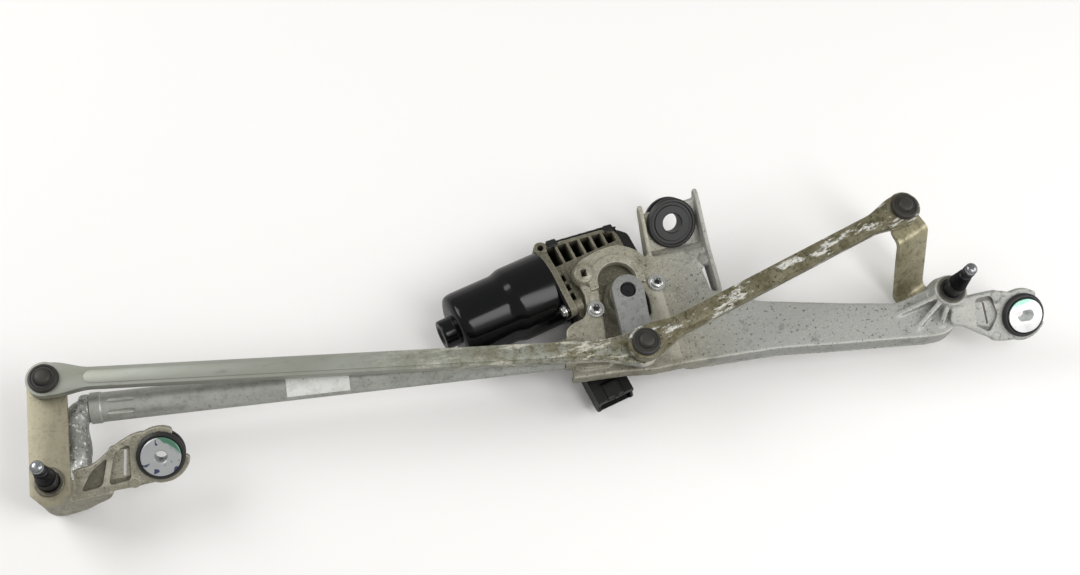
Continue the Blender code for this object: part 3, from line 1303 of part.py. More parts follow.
def gear_housing():
    """Cast gearbox: wheel chamber, worm tunnel, ribbed side, motor flange and output boss."""
    tunnel = plate([gearbox_outline()], HOUSING_BOTTOM, HOUSING_TOP)
    piece = cylinder(HOUSING_RADIUS, HOUSING_BOTTOM, HOUSING_TOP, at_plan(SHAFT), steps=CAN_STEPS)
    flange_start = CAN_FLANGE_AT + GAP
    flange = cylinder(CAN_RADIUS - 0.5 * MM, flange_start, CAN_FLANGE_AT + HOUSING_FLANGE, MOTOR, steps=CAN_STEPS)
    boss = cylinder(OUTPUT_BOSS_RADIUS, HOUSING_TOP - 1 * MM, OUTPUT_BOSS_TOP, at_plan(SHAFT))
    cut(tunnel, box((-60 * MM, -40 * MM, 0), (60 * MM, 40 * MM, flange_start), MOTOR))
    join(piece, tunnel, flange, boss)
    for angle in CAN_SCREW_ANGLES:
        x, y = polar(CAN_SCREW_RADIUS, angle)
        ear = MOTOR @ shift(x, y, 0)
        join(piece, cylinder(CAN_EAR_RADIUS, flange_start, CAN_FLANGE_AT + HOUSING_FLANGE, ear, steps=SMALL_STEPS))
        join(piece, cylinder(4.4 * MM, flange_start + 1 * MM, CAN_FLANGE_AT + 12 * MM, ear, steps=HOLE_STEPS))
    for angle in MOUNT_SCREW_ANGLES:
        at = polar(MOUNT_SCREW_CIRCLE, angle, SHAFT)
        pad_top = DECK_TOP - DECK_THICKNESS - GAP
        join(piece, cylinder(MOUNT_PAD_RADIUS, HOUSING_TOP - 1 * MM, pad_top, at_plan(at), steps=SMALL_STEPS))
    lug = beside_motor(CAN_FLANGE_AT + 6 * MM, 28.5 * MM)
    join(piece, cylinder(5 * MM, -32 * MM, -17 * MM, at_plan(lug), steps=SMALL_STEPS))
    cut(piece, cylinder(2.3 * MM, -26 * MM, -15 * MM, at_plan(lug), steps=HOLE_STEPS))
    cut(piece, cylinder(CHAMBER_RADIUS, HOUSING_BOTTOM - OVERLAP, HOUSING_TOP - HOUSING_WALL, at_plan(SHAFT), steps=CAN_STEPS))
    cut(piece, cylinder(TUNNEL_RADIUS, CAN_FLANGE_AT + 11 * MM, TUNNEL_END - HOUSING_WALL, MOTOR, steps=ROUND_STEPS))
    cut(piece, cylinder(TUNNEL_RADIUS - 1 * MM, 0, CAN_FLANGE_AT + 12 * MM, MOTOR, steps=ROUND_STEPS))
    cut(piece, cylinder(OUTPUT_SHAFT_RADIUS + BUSH_WALL + GAP, HOUSING_TOP - 10 * MM, 0, at_plan(SHAFT), steps=ROUND_STEPS))
    for i in range(POCKETS):
        start = POCKET_START + i * POCKET_PITCH
        end = start + POCKET_WIDTH
        outer_start = 27 * MM - 0.135 * (start - POCKET_START)
        outer_end = 27 * MM - 0.135 * (end - POCKET_START)
        if i == POCKETS - 1:
            outer_end -= 2.5 * MM
        corners = [(start, 11.5 * MM), (end, 11.5 * MM), (end, outer_end), (start, outer_start)]
        outline = [beside_motor(along, across) for along, across in corners]
        cut(piece, plate([outline], HOUSING_TOP - POCKET_DEPTH, HOUSING_TOP + OVERLAP))
    for angle in CAN_SCREW_ANGLES:
        x, y = polar(CAN_SCREW_RADIUS, angle)
        ear = MOTOR @ shift(x, y, 0)
        cut(piece, cylinder(CAN_SCREW_SHANK + GAP, 0, CAN_FLANGE_AT + 10 * MM, ear, steps=HOLE_STEPS))
    for angle in MOUNT_SCREW_ANGLES:
        at = polar(MOUNT_SCREW_CIRCLE, angle, SHAFT)
        cut(piece, cylinder(MOUNT_SCREW_SHANK + 2 * GAP, HOUSING_TOP - 5 * MM, 0, at_plan(at), steps=HOLE_STEPS))
    return manifold(piece)


def cover_outline():
    """Plan of the gear cover, as the housing's but clear of the motor flange and its screw boss."""
    behind_flange = CAN_FLANGE_AT + HOUSING_FLANGE + 1 * MM
    behind_boss = CAN_FLANGE_AT + GEARBOX_SHOULDER
    notch = GEARBOX_SIDE - 10 * MM
    points = [(behind_flange, GEARBOX_NEAR), *GEARBOX_FAR_END]
    points += [(behind_boss, GEARBOX_SIDE), (behind_boss, notch), (behind_flange, notch)]
    return [beside_motor(along, across) for along, across in points]


def gear_cover():
    """Black plastic cover under the gearbox with its connector hood and clip tabs."""
    top = HOUSING_BOTTOM - SEAL_THICKNESS - 2 * GAP
    bottom = top - COVER_THICKNESS
    piece = cylinder(HOUSING_RADIUS + 1 * MM, bottom, top, at_plan(SHAFT), steps=CAN_STEPS)
    join(piece, plate([cover_outline()], bottom, top))
    for along in (CAN_FLANGE_AT + 17 * MM, TUNNEL_END - 14 * MM):
        edge = GEARBOX_SIDE if along < CAN_TO_WORM else 22.4 * MM
        corners = [(along - 5 * MM, edge - 2 * MM), (along + 5 * MM, edge - 3.2 * MM),
                   (along + 5 * MM, edge + 2.2 * MM), (along - 5 * MM, edge + 3.2 * MM)]
        outline = [beside_motor(a, b) for a, b in corners]
        tab = plate([outline], bottom, HOUSING_TOP - 4 * MM)
        cut(tab, plate([inset(gearbox_outline(), -GAP)], top, HOUSING_TOP))
        join(piece, tab)
    right = CONNECTOR_LEFT + CONNECTOR_WIDTH
    hood_top = bottom + CONNECTOR_HEIGHT
    hood_back = SHAFT_Y - HOUSING_RADIUS + HOOD_SINK
    hood = box((CONNECTOR_LEFT, CONNECTOR_MOUTH_Y, bottom), (right, hood_back, hood_top))
    cut(hood, cylinder(HOUSING_RADIUS + GAP, top + GAP, 0, at_plan(SHAFT), steps=CAN_STEPS))
    join(piece, hood)
    wall = CONNECTOR_WALL
    cut(piece, box((CONNECTOR_LEFT + wall, CONNECTOR_MOUTH_Y - OVERLAP, bottom + wall),
                   (right - wall, CONNECTOR_MOUTH_Y + CONNECTOR_DEPTH, hood_top - wall)))
    latch = box((CONNECTOR_LEFT + 10 * MM, CONNECTOR_MOUTH_Y, hood_top - 1 * MM),
                (right - 10 * MM, CONNECTOR_MOUTH_Y + 12 * MM, hood_top + 2 * MM))
    join(piece, latch)
    foot = ring(OUTPUT_SHAFT_RADIUS + 4 * MM, OUTPUT_SHAFT_RADIUS + 7 * MM, bottom - 2 * MM, bottom + 1 * MM, at_plan(SHAFT))
    join(piece, foot)
    return piece


def cover_seal():
    """Flat seal between the housing's rim and the cover."""
    top = HOUSING_BOTTOM - GAP
    bottom = top - SEAL_THICKNESS
    return ring(CHAMBER_RADIUS + 0.4 * MM, HOUSING_RADIUS - 0.4 * MM, bottom, top, at_plan(SHAFT), steps=CAN_STEPS)


def connector_terminals():
    """Blade terminals on their common carrier at the back of the connector."""
    back = CONNECTOR_MOUTH_Y + CONNECTOR_DEPTH - GAP
    bottom = HOUSING_BOTTOM - SEAL_THICKNESS - 2 * GAP - COVER_THICKNESS
    middle = bottom + CONNECTOR_HEIGHT / 2
    inner = CONNECTOR_LEFT + CONNECTOR_WALL + 1 * MM
    width = CONNECTOR_WIDTH - 2 * CONNECTOR_WALL - 2 * MM
    piece = box((inner, back - 3 * MM, middle - 3 * MM), (inner + width, back, middle + 3 * MM))
    pitch = width / TERMINALS
    for i in range(TERMINALS):
        x = inner + (i + 0.5) * pitch
        join(piece, box((x - 1.2 * MM, back - 13 * MM, middle - 0.4 * MM), (x + 1.2 * MM, back - 2 * MM, middle + 0.4 * MM)))
    return piece


def build_frame_body():
    body = Body("frame", (0, 0, 0))
    body.take("motor_frame", motor_frame(), CAST_ALUMINIUM)
    body.take("frame_tube", frame_tube(), GREY_STEEL)
    body.take("left_pivot_housing", left_pivot_housing(), BRIGHT_CASTING)
    body.take("left_grommet", grommet(LEFT_SEAT, GROMMET_RADIUS, SEAT_BORE_RADIUS, GROMMET_BORE_RADIUS), RUBBER)
    right_bore = SLEEVE_RADIUS + OBLONG_HALF_LENGTH + GAP
    body.take("right_grommet", grommet(RIGHT_SEAT, GROMMET_RADIUS, SEAT_BORE_RADIUS, right_bore), RUBBER)
    top = grommet(TOP_SEAT, TOP_GROMMET_RADIUS, TOP_SEAT_BORE_RADIUS, TOP_GROMMET_BORE_RADIUS)
    body.take("top_grommet", top, RUBBER)
    body.take("left_sleeve", round_sleeve(LEFT_SEAT), ZINC)
    body.take("right_sleeve", oblong_sleeve(RIGHT_SEAT), ZINC)
    for side, at, low, high in (
        ("left", LEFT_SPINDLE, LEFT_BOSS_BOTTOM, LEFT_BOSS_TOP),
        ("right", RIGHT_SPINDLE, RIGHT_BOSS_BOTTOM, RIGHT_BOSS_TOP),
    ):
        body.take(side + "_upper_bush", pivot_bush(at, high), BRONZE)
        body.take(side + "_lower_bush", pivot_bush(at, low + BUSH_LENGTH), BRONZE)
    return body


def build_motor(body):
    body.take("gear_housing", gear_housing(), CAST_ALUMINIUM)
    body.take("gear_cover", gear_cover(), BLACK_PLASTIC)
    body.take("cover_seal", cover_seal(), RUBBER)
    body.take("connector_terminals", connector_terminals(), ZINC)
    bush = ring(OUTPUT_SHAFT_RADIUS + GAP, OUTPUT_SHAFT_RADIUS + BUSH_WALL, HOUSING_TOP - HOUSING_WALL,
                OUTPUT_BOSS_TOP, at_plan(SHAFT))
    body.take("output_bush", bush, BRONZE)
    body.take("motor_can", motor_can(), BLACK_STEEL)
    body.take("upper_magnet", magnet(90), FERRITE)
    body.take("lower_magnet", magnet(270), FERRITE)
    body.take("brush_holder", brush_holder(), BLACK_PLASTIC)
    body.take("front_brush", brush_box(-1, 0, 0, 0), CARBON)
    body.take("rear_brush", brush_box(1, 0, 0, 0), CARBON)
    seat = MOTOR_SHAFT_RADIUS + GAP
    rear = ring(seat, CAN_BOSS_RADIUS - CAN_WALL - GAP, CAN_WALL + 1 * MM, CAN_BOSS_LENGTH, MOTOR)
    body.take("rear_bearing", rear, BRONZE)
    front = ring(seat, TUNNEL_RADIUS - 1 * MM - GAP, CAN_FLANGE_AT + 2 * MM, CAN_FLANGE_AT + 10 * MM, MOTOR)
    body.take("front_bearing", front, BRONZE)
    end = ring(seat, TUNNEL_RADIUS - GAP, TUNNEL_END - HOUSING_WALL - 7 * MM, TUNNEL_END - HOUSING_WALL - GAP, MOTOR)
    body.take("worm_end_bearing", end, BRONZE)
    for number, angle in enumerate(CAN_SCREW_ANGLES, 1):
        body.take(f"can_screw_{number}", can_screw(angle), ZINC)
    for number, angle in enumerate(MOUNT_SCREW_ANGLES, 1):
        body.take(f"mount_screw_{number}", mount_screw(angle), ZINC)


def build_armature(frame):
    body = Body("armature", (CAN_END[0], CAN_END[1], MOTOR_AXIS_HEIGHT), frame)
    body.take("armature_shaft", armature_shaft(), DARK_STEEL)
    body.take("armature_core", armature_core(), GREY_STEEL)
    body.take("armature_winding", armature_winding(), COPPER)
    body.take("commutator", commutator(), COPPER)


def build_crank(frame):
    body = Body("crank", (SHAFT_X, SHAFT_Y, 0), frame)
    body.take("crank_arm", crank_arm(), GREY_STEEL)
    shaft_bottom = HOUSING_BOTTOM + 3 * MM
    shaft = turned(
        [
            (0, CRANK_TOP - CRANK_RECESS),
            (OUTPUT_SHAFT_RADIUS - 0.8 * MM, CRANK_TOP - CRANK_RECESS),
            (OUTPUT_SHAFT_RADIUS, CRANK_TOP - CRANK_RECESS - 0.8 * MM),
            (OUTPUT_SHAFT_RADIUS, shaft_bottom),
            (0, shaft_bottom),
        ],
        at_plan(SHAFT),
    )
    body.take("output_shaft", shaft, DARK_STEEL)
    body.take("worm_wheel", worm_wheel(), GEAR_PLASTIC)
    washer = ring(OUTPUT_SHAFT_RADIUS + GAP, OUTPUT_SHAFT_RADIUS + 4.5 * MM, OUTPUT_BOSS_TOP + GAP,
                  CRANK_BOTTOM - GAP, at_plan(SHAFT))
    body.take("output_washer", washer, ZINC)
    stud = turned(ball_stud(CRANK_TOP + GAP, [LOWER_BALL_Z, UPPER_BALL_Z], CRANK_BOTTOM), at_plan(PIN), steps=SMALL_STEPS)
    body.take("crank_ball_stud", stud, ZINC)
    return body


def build_links(crank):
    left = Body("left_link", (PIN[0], PIN[1], LOWER_BALL_Z), crank)
    bar = link(LEFT_BALL, PIN, LEFT_BALL_Z, LOWER_BALL_Z, LINK_PADDLE_RADIUS, LINK_PADDLE_RADIUS)
    left.take("left_link_bar", bar, GREY_STEEL)
    left.take("left_outer_socket", ball_socket(LEFT_BALL, LEFT_BALL_Z, True), CAP_PLASTIC)
    left.take("left_crank_socket", ball_socket(PIN, LOWER_BALL_Z, False), CAP_PLASTIC)
    stud = turned(ball_stud(LEFT_LEVER_TOP + GAP, [LEFT_BALL_Z]), at_plan(LEFT_BALL), steps=SMALL_STEPS)
    left.take("left_ball_stud", stud, ZINC)
    right = Body("right_link", (PIN[0], PIN[1], UPPER_BALL_Z), crank)
    bar = link(PIN, RIGHT_BALL, UPPER_BALL_Z, RIGHT_BALL_Z, LINK_PADDLE_RADIUS, LINK_PADDLE_RADIUS)
    right.take("right_link_bar", bar, OLIVE_STEEL)
    right.take("right_crank_socket", ball_socket(PIN, UPPER_BALL_Z, True), CAP_PLASTIC)
    right.take("right_outer_socket", ball_socket(RIGHT_BALL, RIGHT_BALL_Z, True), CAP_PLASTIC)
    stud = turned(ball_stud(RIGHT_LEVER_EYE_TOP + GAP, [RIGHT_BALL_Z]), at_plan(RIGHT_BALL), steps=SMALL_STEPS)
    right.take("right_ball_stud", stud, ZINC)


def build_levers(frame):
    left = Body("left_lever", (*LEFT_SPINDLE, 0), frame)
    left.take("left_lever_plate", left_lever_plate(), OLIVE_STEEL)
    tail = LEFT_BOSS_BOTTOM - CIRCLIP_THICKNESS - SPINDLE_TAIL
    left.take("left_spindle", spindle(LEFT_LEVER_TOP + GAP, tail), DARK_STEEL)
    washer_inner = SPINDLE_COLLAR_RADIUS + GAP
    washer_bottom = LEFT_LEVER_TOP + GAP
    washer = ring(washer_inner, WASHER_RADIUS, washer_bottom, washer_bottom + 3 * WASHER_THICKNESS)
    left.take("left_spindle_ring", washer, ZINC)
    left.take("left_circlip", circlip(LEFT_SPINDLE, LEFT_BOSS_BOTTOM - GAP - CIRCLIP_THICKNESS), DARK_STEEL)
    right = Body("right_lever", (*RIGHT_SPINDLE, 0), frame)
    right.take("right_lever_plate", right_lever_plate(), OLIVE_STEEL)
    collar_foot = RIGHT_BOSS_TOP + GAP + WASHER_THICKNESS
    shaft = spindle(collar_foot + GAP, RIGHT_LEVER_BOTTOM)
    shaft.data.transform(at_plan(RIGHT_SPINDLE))
    right.take("right_spindle", shaft, DARK_STEEL)
    washer = ring(SPINDLE_RADIUS + GAP, WASHER_RADIUS + 0.7 * MM, RIGHT_BOSS_TOP + GAP, collar_foot,
                  at_plan(RIGHT_SPINDLE))
    right.take("right_spindle_washer", washer, ZINC)
    spacer_top = RIGHT_BOSS_BOTTOM - GAP
    spacer_bottom = RIGHT_LEVER_BOTTOM + LEVER_THICKNESS + GAP
    spacer = ring(SPINDLE_RADIUS + GAP, WASHER_RADIUS, spacer_bottom, spacer_top, at_plan(RIGHT_SPINDLE))
    right.take("right_thrust_washer", spacer, ZINC)


clear_scene()
PARTS = collection_named("wiper_motor")
CUTTERS = collection_named("cutters")
ROOT = bpy.data.objects.new("part_origin", None)
PARTS.objects.link(ROOT)
ROOT.location = (-ORIGIN_X, -ORIGIN_Y, FLOOR_DEPTH)

FRAME = build_frame_body()
build_motor(FRAME)
build_armature(FRAME)
build_links(build_crank(FRAME))
build_levers(FRAME)
bpy.context.view_layer.update()
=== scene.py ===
"""Looks of a windshield wiper motor with its linkage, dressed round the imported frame.

Every piece is modelled in millimetres from the left spindle's washer plane, the maker's own datum, and is
moved to the frame's metres when it is published.
"""

from __future__ import annotations

import json
import logging
import math
from collections.abc import Iterable, Sequence
from dataclasses import dataclass
from enum import Enum

import bmesh
import bpy
from mathutils import Matrix, Vector

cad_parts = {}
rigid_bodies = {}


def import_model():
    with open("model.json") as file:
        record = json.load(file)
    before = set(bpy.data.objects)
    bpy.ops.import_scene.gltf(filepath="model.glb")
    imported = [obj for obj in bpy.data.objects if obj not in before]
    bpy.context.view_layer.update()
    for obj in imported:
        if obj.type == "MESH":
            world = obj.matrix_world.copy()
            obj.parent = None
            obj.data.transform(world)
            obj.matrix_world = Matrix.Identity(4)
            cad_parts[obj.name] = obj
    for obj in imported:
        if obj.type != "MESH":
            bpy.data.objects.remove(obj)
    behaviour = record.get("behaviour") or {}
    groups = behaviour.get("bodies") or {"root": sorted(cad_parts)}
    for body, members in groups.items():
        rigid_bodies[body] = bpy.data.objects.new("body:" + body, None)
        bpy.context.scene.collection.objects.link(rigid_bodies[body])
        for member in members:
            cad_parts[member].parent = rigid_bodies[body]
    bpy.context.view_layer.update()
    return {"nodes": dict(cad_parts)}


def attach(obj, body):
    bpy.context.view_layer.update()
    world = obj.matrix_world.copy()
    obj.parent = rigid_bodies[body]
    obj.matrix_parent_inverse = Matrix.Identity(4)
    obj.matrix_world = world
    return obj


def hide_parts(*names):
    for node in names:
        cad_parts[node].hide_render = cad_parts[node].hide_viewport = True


for start_object in list(bpy.data.objects):
    bpy.data.objects.remove(start_object, do_unlink=True)
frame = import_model()

LOG = logging.getLogger("wiper_motor")

Point = tuple[float, float]
Outline = list[Point]
Solid = bpy.types.Object
Socket = bpy.types.NodeSocket

DATUM = Matrix.Translation((-0.3795, -0.0404, 0.0625)) @ Matrix.Scale(0.001, 4)
SMOOTH_ANGLE = math.radians(32)
WELD = 0.0005


class Side(Enum):
    """The two ends of the linkage."""

    LEFT = "left"
    RIGHT = "right"


class Solver(Enum):
    """Boolean solvers."""

    EXACT = "EXACT"
    MANIFOLD = "MANIFOLD"


class Work(Enum):
    """What tools do to a piece."""

    CUT = "DIFFERENCE"
    JOIN = "UNION"
    KEEP_INSIDE = "INTERSECT"


# Plane geometry


def polar(radius: float, degrees: float, centre: Point = (0.0, 0.0)) -> Point:
    """A point on a circle.

    Args:
        radius: The circle's radius.
        degrees: Its angle from +X.
        centre: The circle's centre.

    Returns:
        The point.
    """
    angle = math.radians(degrees)
    return (centre[0] + radius * math.cos(angle), centre[1] + radius * math.sin(angle))


def arc(centre: Point, radius: float, start: float, end: float, steps: int) -> Outline:
    """Points along an arc, both ends included.

    Args:
        centre: The arc's centre.
        radius: Its radius.
        start: First angle in degrees.
        end: Last angle in degrees.
        steps: Number of chords.

    Returns:
        The points.
    """
    return [polar(radius, start + (end - start) * i / steps, centre) for i in range(steps + 1)]


def circle(centre: Point, radius: float, steps: int = 48) -> Outline:
    """A full circle, anticlockwise."""
    return [polar(radius, 360 * i / steps, centre) for i in range(steps)]


def capsule(length: float, first: float, second: float, steps: int = 24) -> Outline:
    """Outline round two circles, one at the origin and one at `length` along X.

    Args:
        length: Distance between the centres.
        first: Radius at the origin.
        second: Radius at the far end.
        steps: Chords on each round end.

    Returns:
        The anticlockwise outline.
    """
    lean = math.degrees(math.acos((first - second) / length))
    return arc((length, 0), second, -lean, lean, steps) + arc((0, 0), first, lean, 360 - lean, steps)


def oblong(half_length: float, radius: float, steps: int = 20) -> Outline:
    """A slot's outline with round ends, along X."""
    return arc((half_length, 0), radius, -90, 90, steps) + arc((-half_length, 0), radius, 90, 270, steps)


def inset(outline: Outline, distance: float) -> Outline:
    """An anticlockwise outline moved inwards.

    Args:
        outline: The points.
        distance: How far each side moves in; negative moves it out.

    Returns:
        The moved points.
    """
    moved = []
    for i, point in enumerate(outline):
        here = Vector(point)
        first = (here - Vector(outline[i - 1])).normalized()
        second = (Vector(outline[(i + 1) % len(outline)]) - here).normalized()
        sides = Vector((-first.y, first.x)) + Vector((-second.y, second.x))
        moved.append(tuple(here + sides * (distance / max(0.3, 1 + first.dot(second)))))
    return moved


def rotated(points: Iterable[Point], degrees: float, at: Point = (0.0, 0.0)) -> Outline:
    """Points turned about the origin, then moved to `at`."""
    cosine, sine = math.cos(math.radians(degrees)), math.sin(math.radians(degrees))
    return [(at[0] + x * cosine - y * sine, at[1] + x * sine + y * cosine) for x, y in points]


def filleted(points: Sequence[Point], radius: float, closed: bool = True, steps: int = 4) -> Outline:
    """A polygon or a profile with its corners rounded.

    Args:
        points: The corners.
        radius: How far from a corner its rounding starts, at most.
        closed: Whether the last point joins the first; an open run keeps its ends.
        steps: Chords in each rounding.

    Returns:
        The rounded points.
    """
    made: Outline = []
    count = len(points)
    for i, point in enumerate(points):
        if not closed and i in (0, count - 1):
            made.append(point)
            continue
        here, before, after = Vector(point), Vector(points[i - 1]), Vector(points[(i + 1) % count])
        reach = min(radius, 0.46 * (here - before).length, 0.46 * (after - here).length)
        start = here + (before - here).normalized() * reach
        end = here + (after - here).normalized() * reach
        for k in range(steps + 1):
            t = k / steps
            made.append(tuple(start * (1 - t) ** 2 + here * 2 * t * (1 - t) + end * t**2))
    return made


# Solids in millimetres


def put(x: float, y: float, z: float = 0.0) -> Matrix:
    """A shift as a matrix."""
    return Matrix.Translation((x, y, z))


def turn(degrees: float, axis: str) -> Matrix:
    """A rotation as a matrix."""
    return Matrix.Rotation(math.radians(degrees), 4, axis)


def linked(data: bpy.types.ID, place: Matrix | None = None) -> Solid:
    """Wraps a mesh, curve, lamp or camera in a scene object, after moving a mesh to its place.

    Args:
        data: The data.
        place: Where a mesh goes.

    Returns:
        The object.
    """
    if place is not None:
        data.transform(place)
    made = bpy.data.objects.new(data.name, data)
    bpy.context.scene.collection.objects.link(made)
    return made


def closed(shape: bmesh.types.BMesh, mesh: bpy.types.Mesh) -> bpy.types.Mesh:
    """Welds a bmesh's seams, turns its faces outwards and writes it to a mesh.

    Args:
        shape: The bmesh, which is freed.
        mesh: The mesh to write to.

    Returns:
        The mesh.
    """
    bmesh.ops.remove_doubles(shape, verts=shape.verts, dist=WELD)
    bmesh.ops.recalc_face_normals(shape, faces=shape.faces)
    shape.to_mesh(mesh)
    shape.free()
    return mesh


def baked(source: Solid, place: Matrix | None = None) -> Solid:
    """Applies all of an object's modifiers, or a curve's fill, as one plain mesh.

    Args:
        source: The object, which is removed.
        place: Where the result goes.

    Returns:
        The plain mesh object.
    """
    bpy.context.view_layer.update()
    graph = bpy.context.evaluated_depsgraph_get()
    mesh = bpy.data.meshes.new_from_object(source.evaluated_get(graph))
    was_curve = source.type == "CURVE"
    bpy.data.objects.remove(source, do_unlink=True)
    if was_curve:
        shape = bmesh.new()
        shape.from_mesh(mesh)
        closed(shape, mesh)
    return linked(mesh, place)


def turned(
    profile: Sequence[Point], place: Matrix | None = None, ring: bool = False, steps: int = 72) -> Solid:
    """A turned piece from its (radius, height) profile.

    Args:
        profile: The points, of which only the ends may lie on the axis.
        place: Where the piece goes.
        ring: Whether the profile closes on itself, round a bore.
        steps: Number of sides.

    Returns:
        The piece.
    """
    shape = bmesh.new()
    rows = []
    for radius, height in profile:
        if radius < 1e-6:
            rows.append([shape.verts.new((0, 0, height))])
        else:
            rows.append([shape.verts.new((*polar(radius, 360 * i / steps), height)) for i in range(steps)])
    pairs = list(zip(rows, rows[1:]))
    if ring:
        pairs.append((rows[-1], rows[0]))
    for upper, lower in pairs:
        for i in range(steps):
            j = (i + 1) % steps
            corners = [
                upper[i % len(upper)], upper[j % len(upper)], lower[j % len(lower)], lower[i % len(lower)]]
            shape.faces.new(list(dict.fromkeys(corners)))
    return linked(closed(shape, bpy.data.meshes.new("turned")), place)


def drum(radius: float, bottom: float, top: float, place: Matrix | None = None, steps: int = 72) -> Solid:
    """A plain cylinder, for cutting or for fusing into a casting."""
    return turned([(0, top), (radius, top), (radius, bottom), (0, bottom)], place, steps=steps)


def slab(
    outlines: Sequence[Outline], bottom: float, top: float, place: Matrix | None = None, edge: float = 0.0
) -> Solid:
    """A flat piece between two heights.

    Args:
        outlines: The rim first, then the holes.
        bottom: Its lower height.
        top: Its upper height.
        place: Where the piece goes.
        edge: Width of the rounding along its sharp edges.

    Returns:
        The piece.
    """
    curve = bpy.data.curves.new("slab", "CURVE")
    curve.dimensions = "2D"
    curve.fill_mode = "BOTH"
    curve.extrude = (top - bottom) / 2
    for outline in outlines:
        spline = curve.splines.new("POLY")
        spline.points.add(len(outline) - 1)
        for point, (x, y) in zip(spline.points, outline):
            point.co = (x, y, 0, 1)
        spline.use_cyclic_u = True
    lift = put(0, 0, (bottom + top) / 2)
    piece = baked(linked(curve), lift if place is None else place @ lift)
    return edged(piece, edge) if edge > 0 else piece


def edged(piece: Solid, width: float, segments: int = 3, angle: float = 40) -> Solid:
    """Rounds a piece's sharp edges.

    Args:
        piece: The piece.
        width: Width of the rounding.
        segments: Chords across it.
        angle: Edges sharper than this many degrees are rounded.

    Returns:
        The rounded piece.
    """
    bevel = piece.modifiers.new("edge", "BEVEL")
    bevel.width = width
    bevel.segments = segments
    bevel.limit_method = "ANGLE"
    bevel.angle_limit = math.radians(angle)
    bevel.harden_normals = False
    return baked(piece)


def block(
    low: Sequence[float], high: Sequence[float], place: Matrix | None = None, edge: float = 0.0) -> Solid:
    """A box between two corners."""
    corners = [(low[0], low[1]), (high[0], low[1]), (high[0], high[1]), (low[0], high[1])]
    return slab([corners], low[2], high[2], place, edge)


def pipe(points: Sequence[Sequence[float]], radii: Sequence[float], place: Matrix | None = None) -> Solid:
    """A round bar whose radius changes along a smooth run of points.

    Args:
        points: The run, which is smoothed.
        radii: The radius at each point.
        place: Where the bar goes.

    Returns:
        The bar.
    """
    curve = bpy.data.curves.new("pipe", "CURVE")
    curve.dimensions = "3D"
    curve.bevel_depth = 1
    curve.bevel_resolution = 10
    curve.resolution_u = 8
    curve.use_fill_caps = True
    spline = curve.splines.new("NURBS")
    spline.points.add(len(points) - 1)
    for control, place_of, radius in zip(spline.points, points, radii):
        control.co = (*place_of, 1)
        control.radius = radius
    spline.use_endpoint_u = True
    spline.order_u = 3
    return baked(linked(curve), place)


def lofted(rings: Sequence[Sequence[Sequence[float]]], place: Matrix | None = None) -> Solid:
    """A closed solid through rings of points that match one for one.

    Args:
        rings: The rings, from one end to the other.
        place: Where the piece goes.

    Returns:
        The piece.
    """
    shape = bmesh.new()
    made = [[shape.verts.new(point) for point in ring] for ring in rings]
    count = len(rings[0])
    for lower, upper in zip(made, made[1:]):
        for i in range(count):
            j = (i + 1) % count
            shape.faces.new((lower[i], lower[j], upper[j], upper[i]))
    shape.faces.new(made[0])
    shape.faces.new(made[-1])
    return linked(closed(shape, bpy.data.meshes.new("loft")), place)


def carved(piece: Solid, tools: Sequence[Solid], work: Work = Work.CUT,
           solver: Solver = Solver.MANIFOLD) -> Solid:
    """Cuts tools from a piece, or joins them to it, and removes the tools.

    Args:
        piece: The piece.
        tools: The solids to cut or join.
        work: What the tools do.
        solver: The solver to use.

    Returns:
        The worked piece.
    """
    for tool in tools:
        step = piece.modifiers.new("work", "BOOLEAN")
        step.operation = work.value
        step.solver = solver.value
        step.object = tool
    piece = baked(piece)
    for tool in tools:
        bpy.data.objects.remove(tool, do_unlink=True)
    return piece


def merged(pieces: Sequence[Solid]) -> Solid:
    """Puts several solids into one mesh, as separate shells.

    Args:
        pieces: The solids, which are removed.

    Returns:
        The one piece.
    """
    shape = bmesh.new()
    for piece in pieces:
        shape.from_mesh(piece.data)
        bpy.data.objects.remove(piece, do_unlink=True)
    mesh = bpy.data.meshes.new("merged")
    shape.to_mesh(mesh)
    shape.free()
    return linked(mesh)


def cast(pieces: Sequence[Solid], cuts: Sequence[Solid], grid: float, passes: int) -> Solid:
    """Fuses overlapping solids into one casting with soft fillets, then machines it.

    Args:
        pieces: The solids.
        cuts: What is cut from the casting, with sharp edges.
        grid: Spacing of the casting's surface points in millimetres.
        passes: Smoothing passes, which widen the fillets.

    Returns:
        The casting.
    """
    whole = merged(pieces)
    remesh = whole.modifiers.new("fuse", "REMESH")
    remesh.mode = "VOXEL"
    remesh.voxel_size = grid
    remesh.adaptivity = 0
    smooth = whole.modifiers.new("soften", "SMOOTH")
    smooth.factor = 0.5
    smooth.iterations = passes
    return carved(baked(whole), cuts) if cuts else baked(whole)


def thinned(piece: Solid, share: float) -> Solid:
    """Collapses the faces that a casting's flat stretches don't need.

    Args:
        piece: The casting.
        share: Share of its faces that stays.

    Returns:
        The casting.
    """
    fewer = piece.modifiers.new("thin", "DECIMATE")
    fewer.ratio = share
    piece = baked(piece)
    piece.data.validate()
    return piece


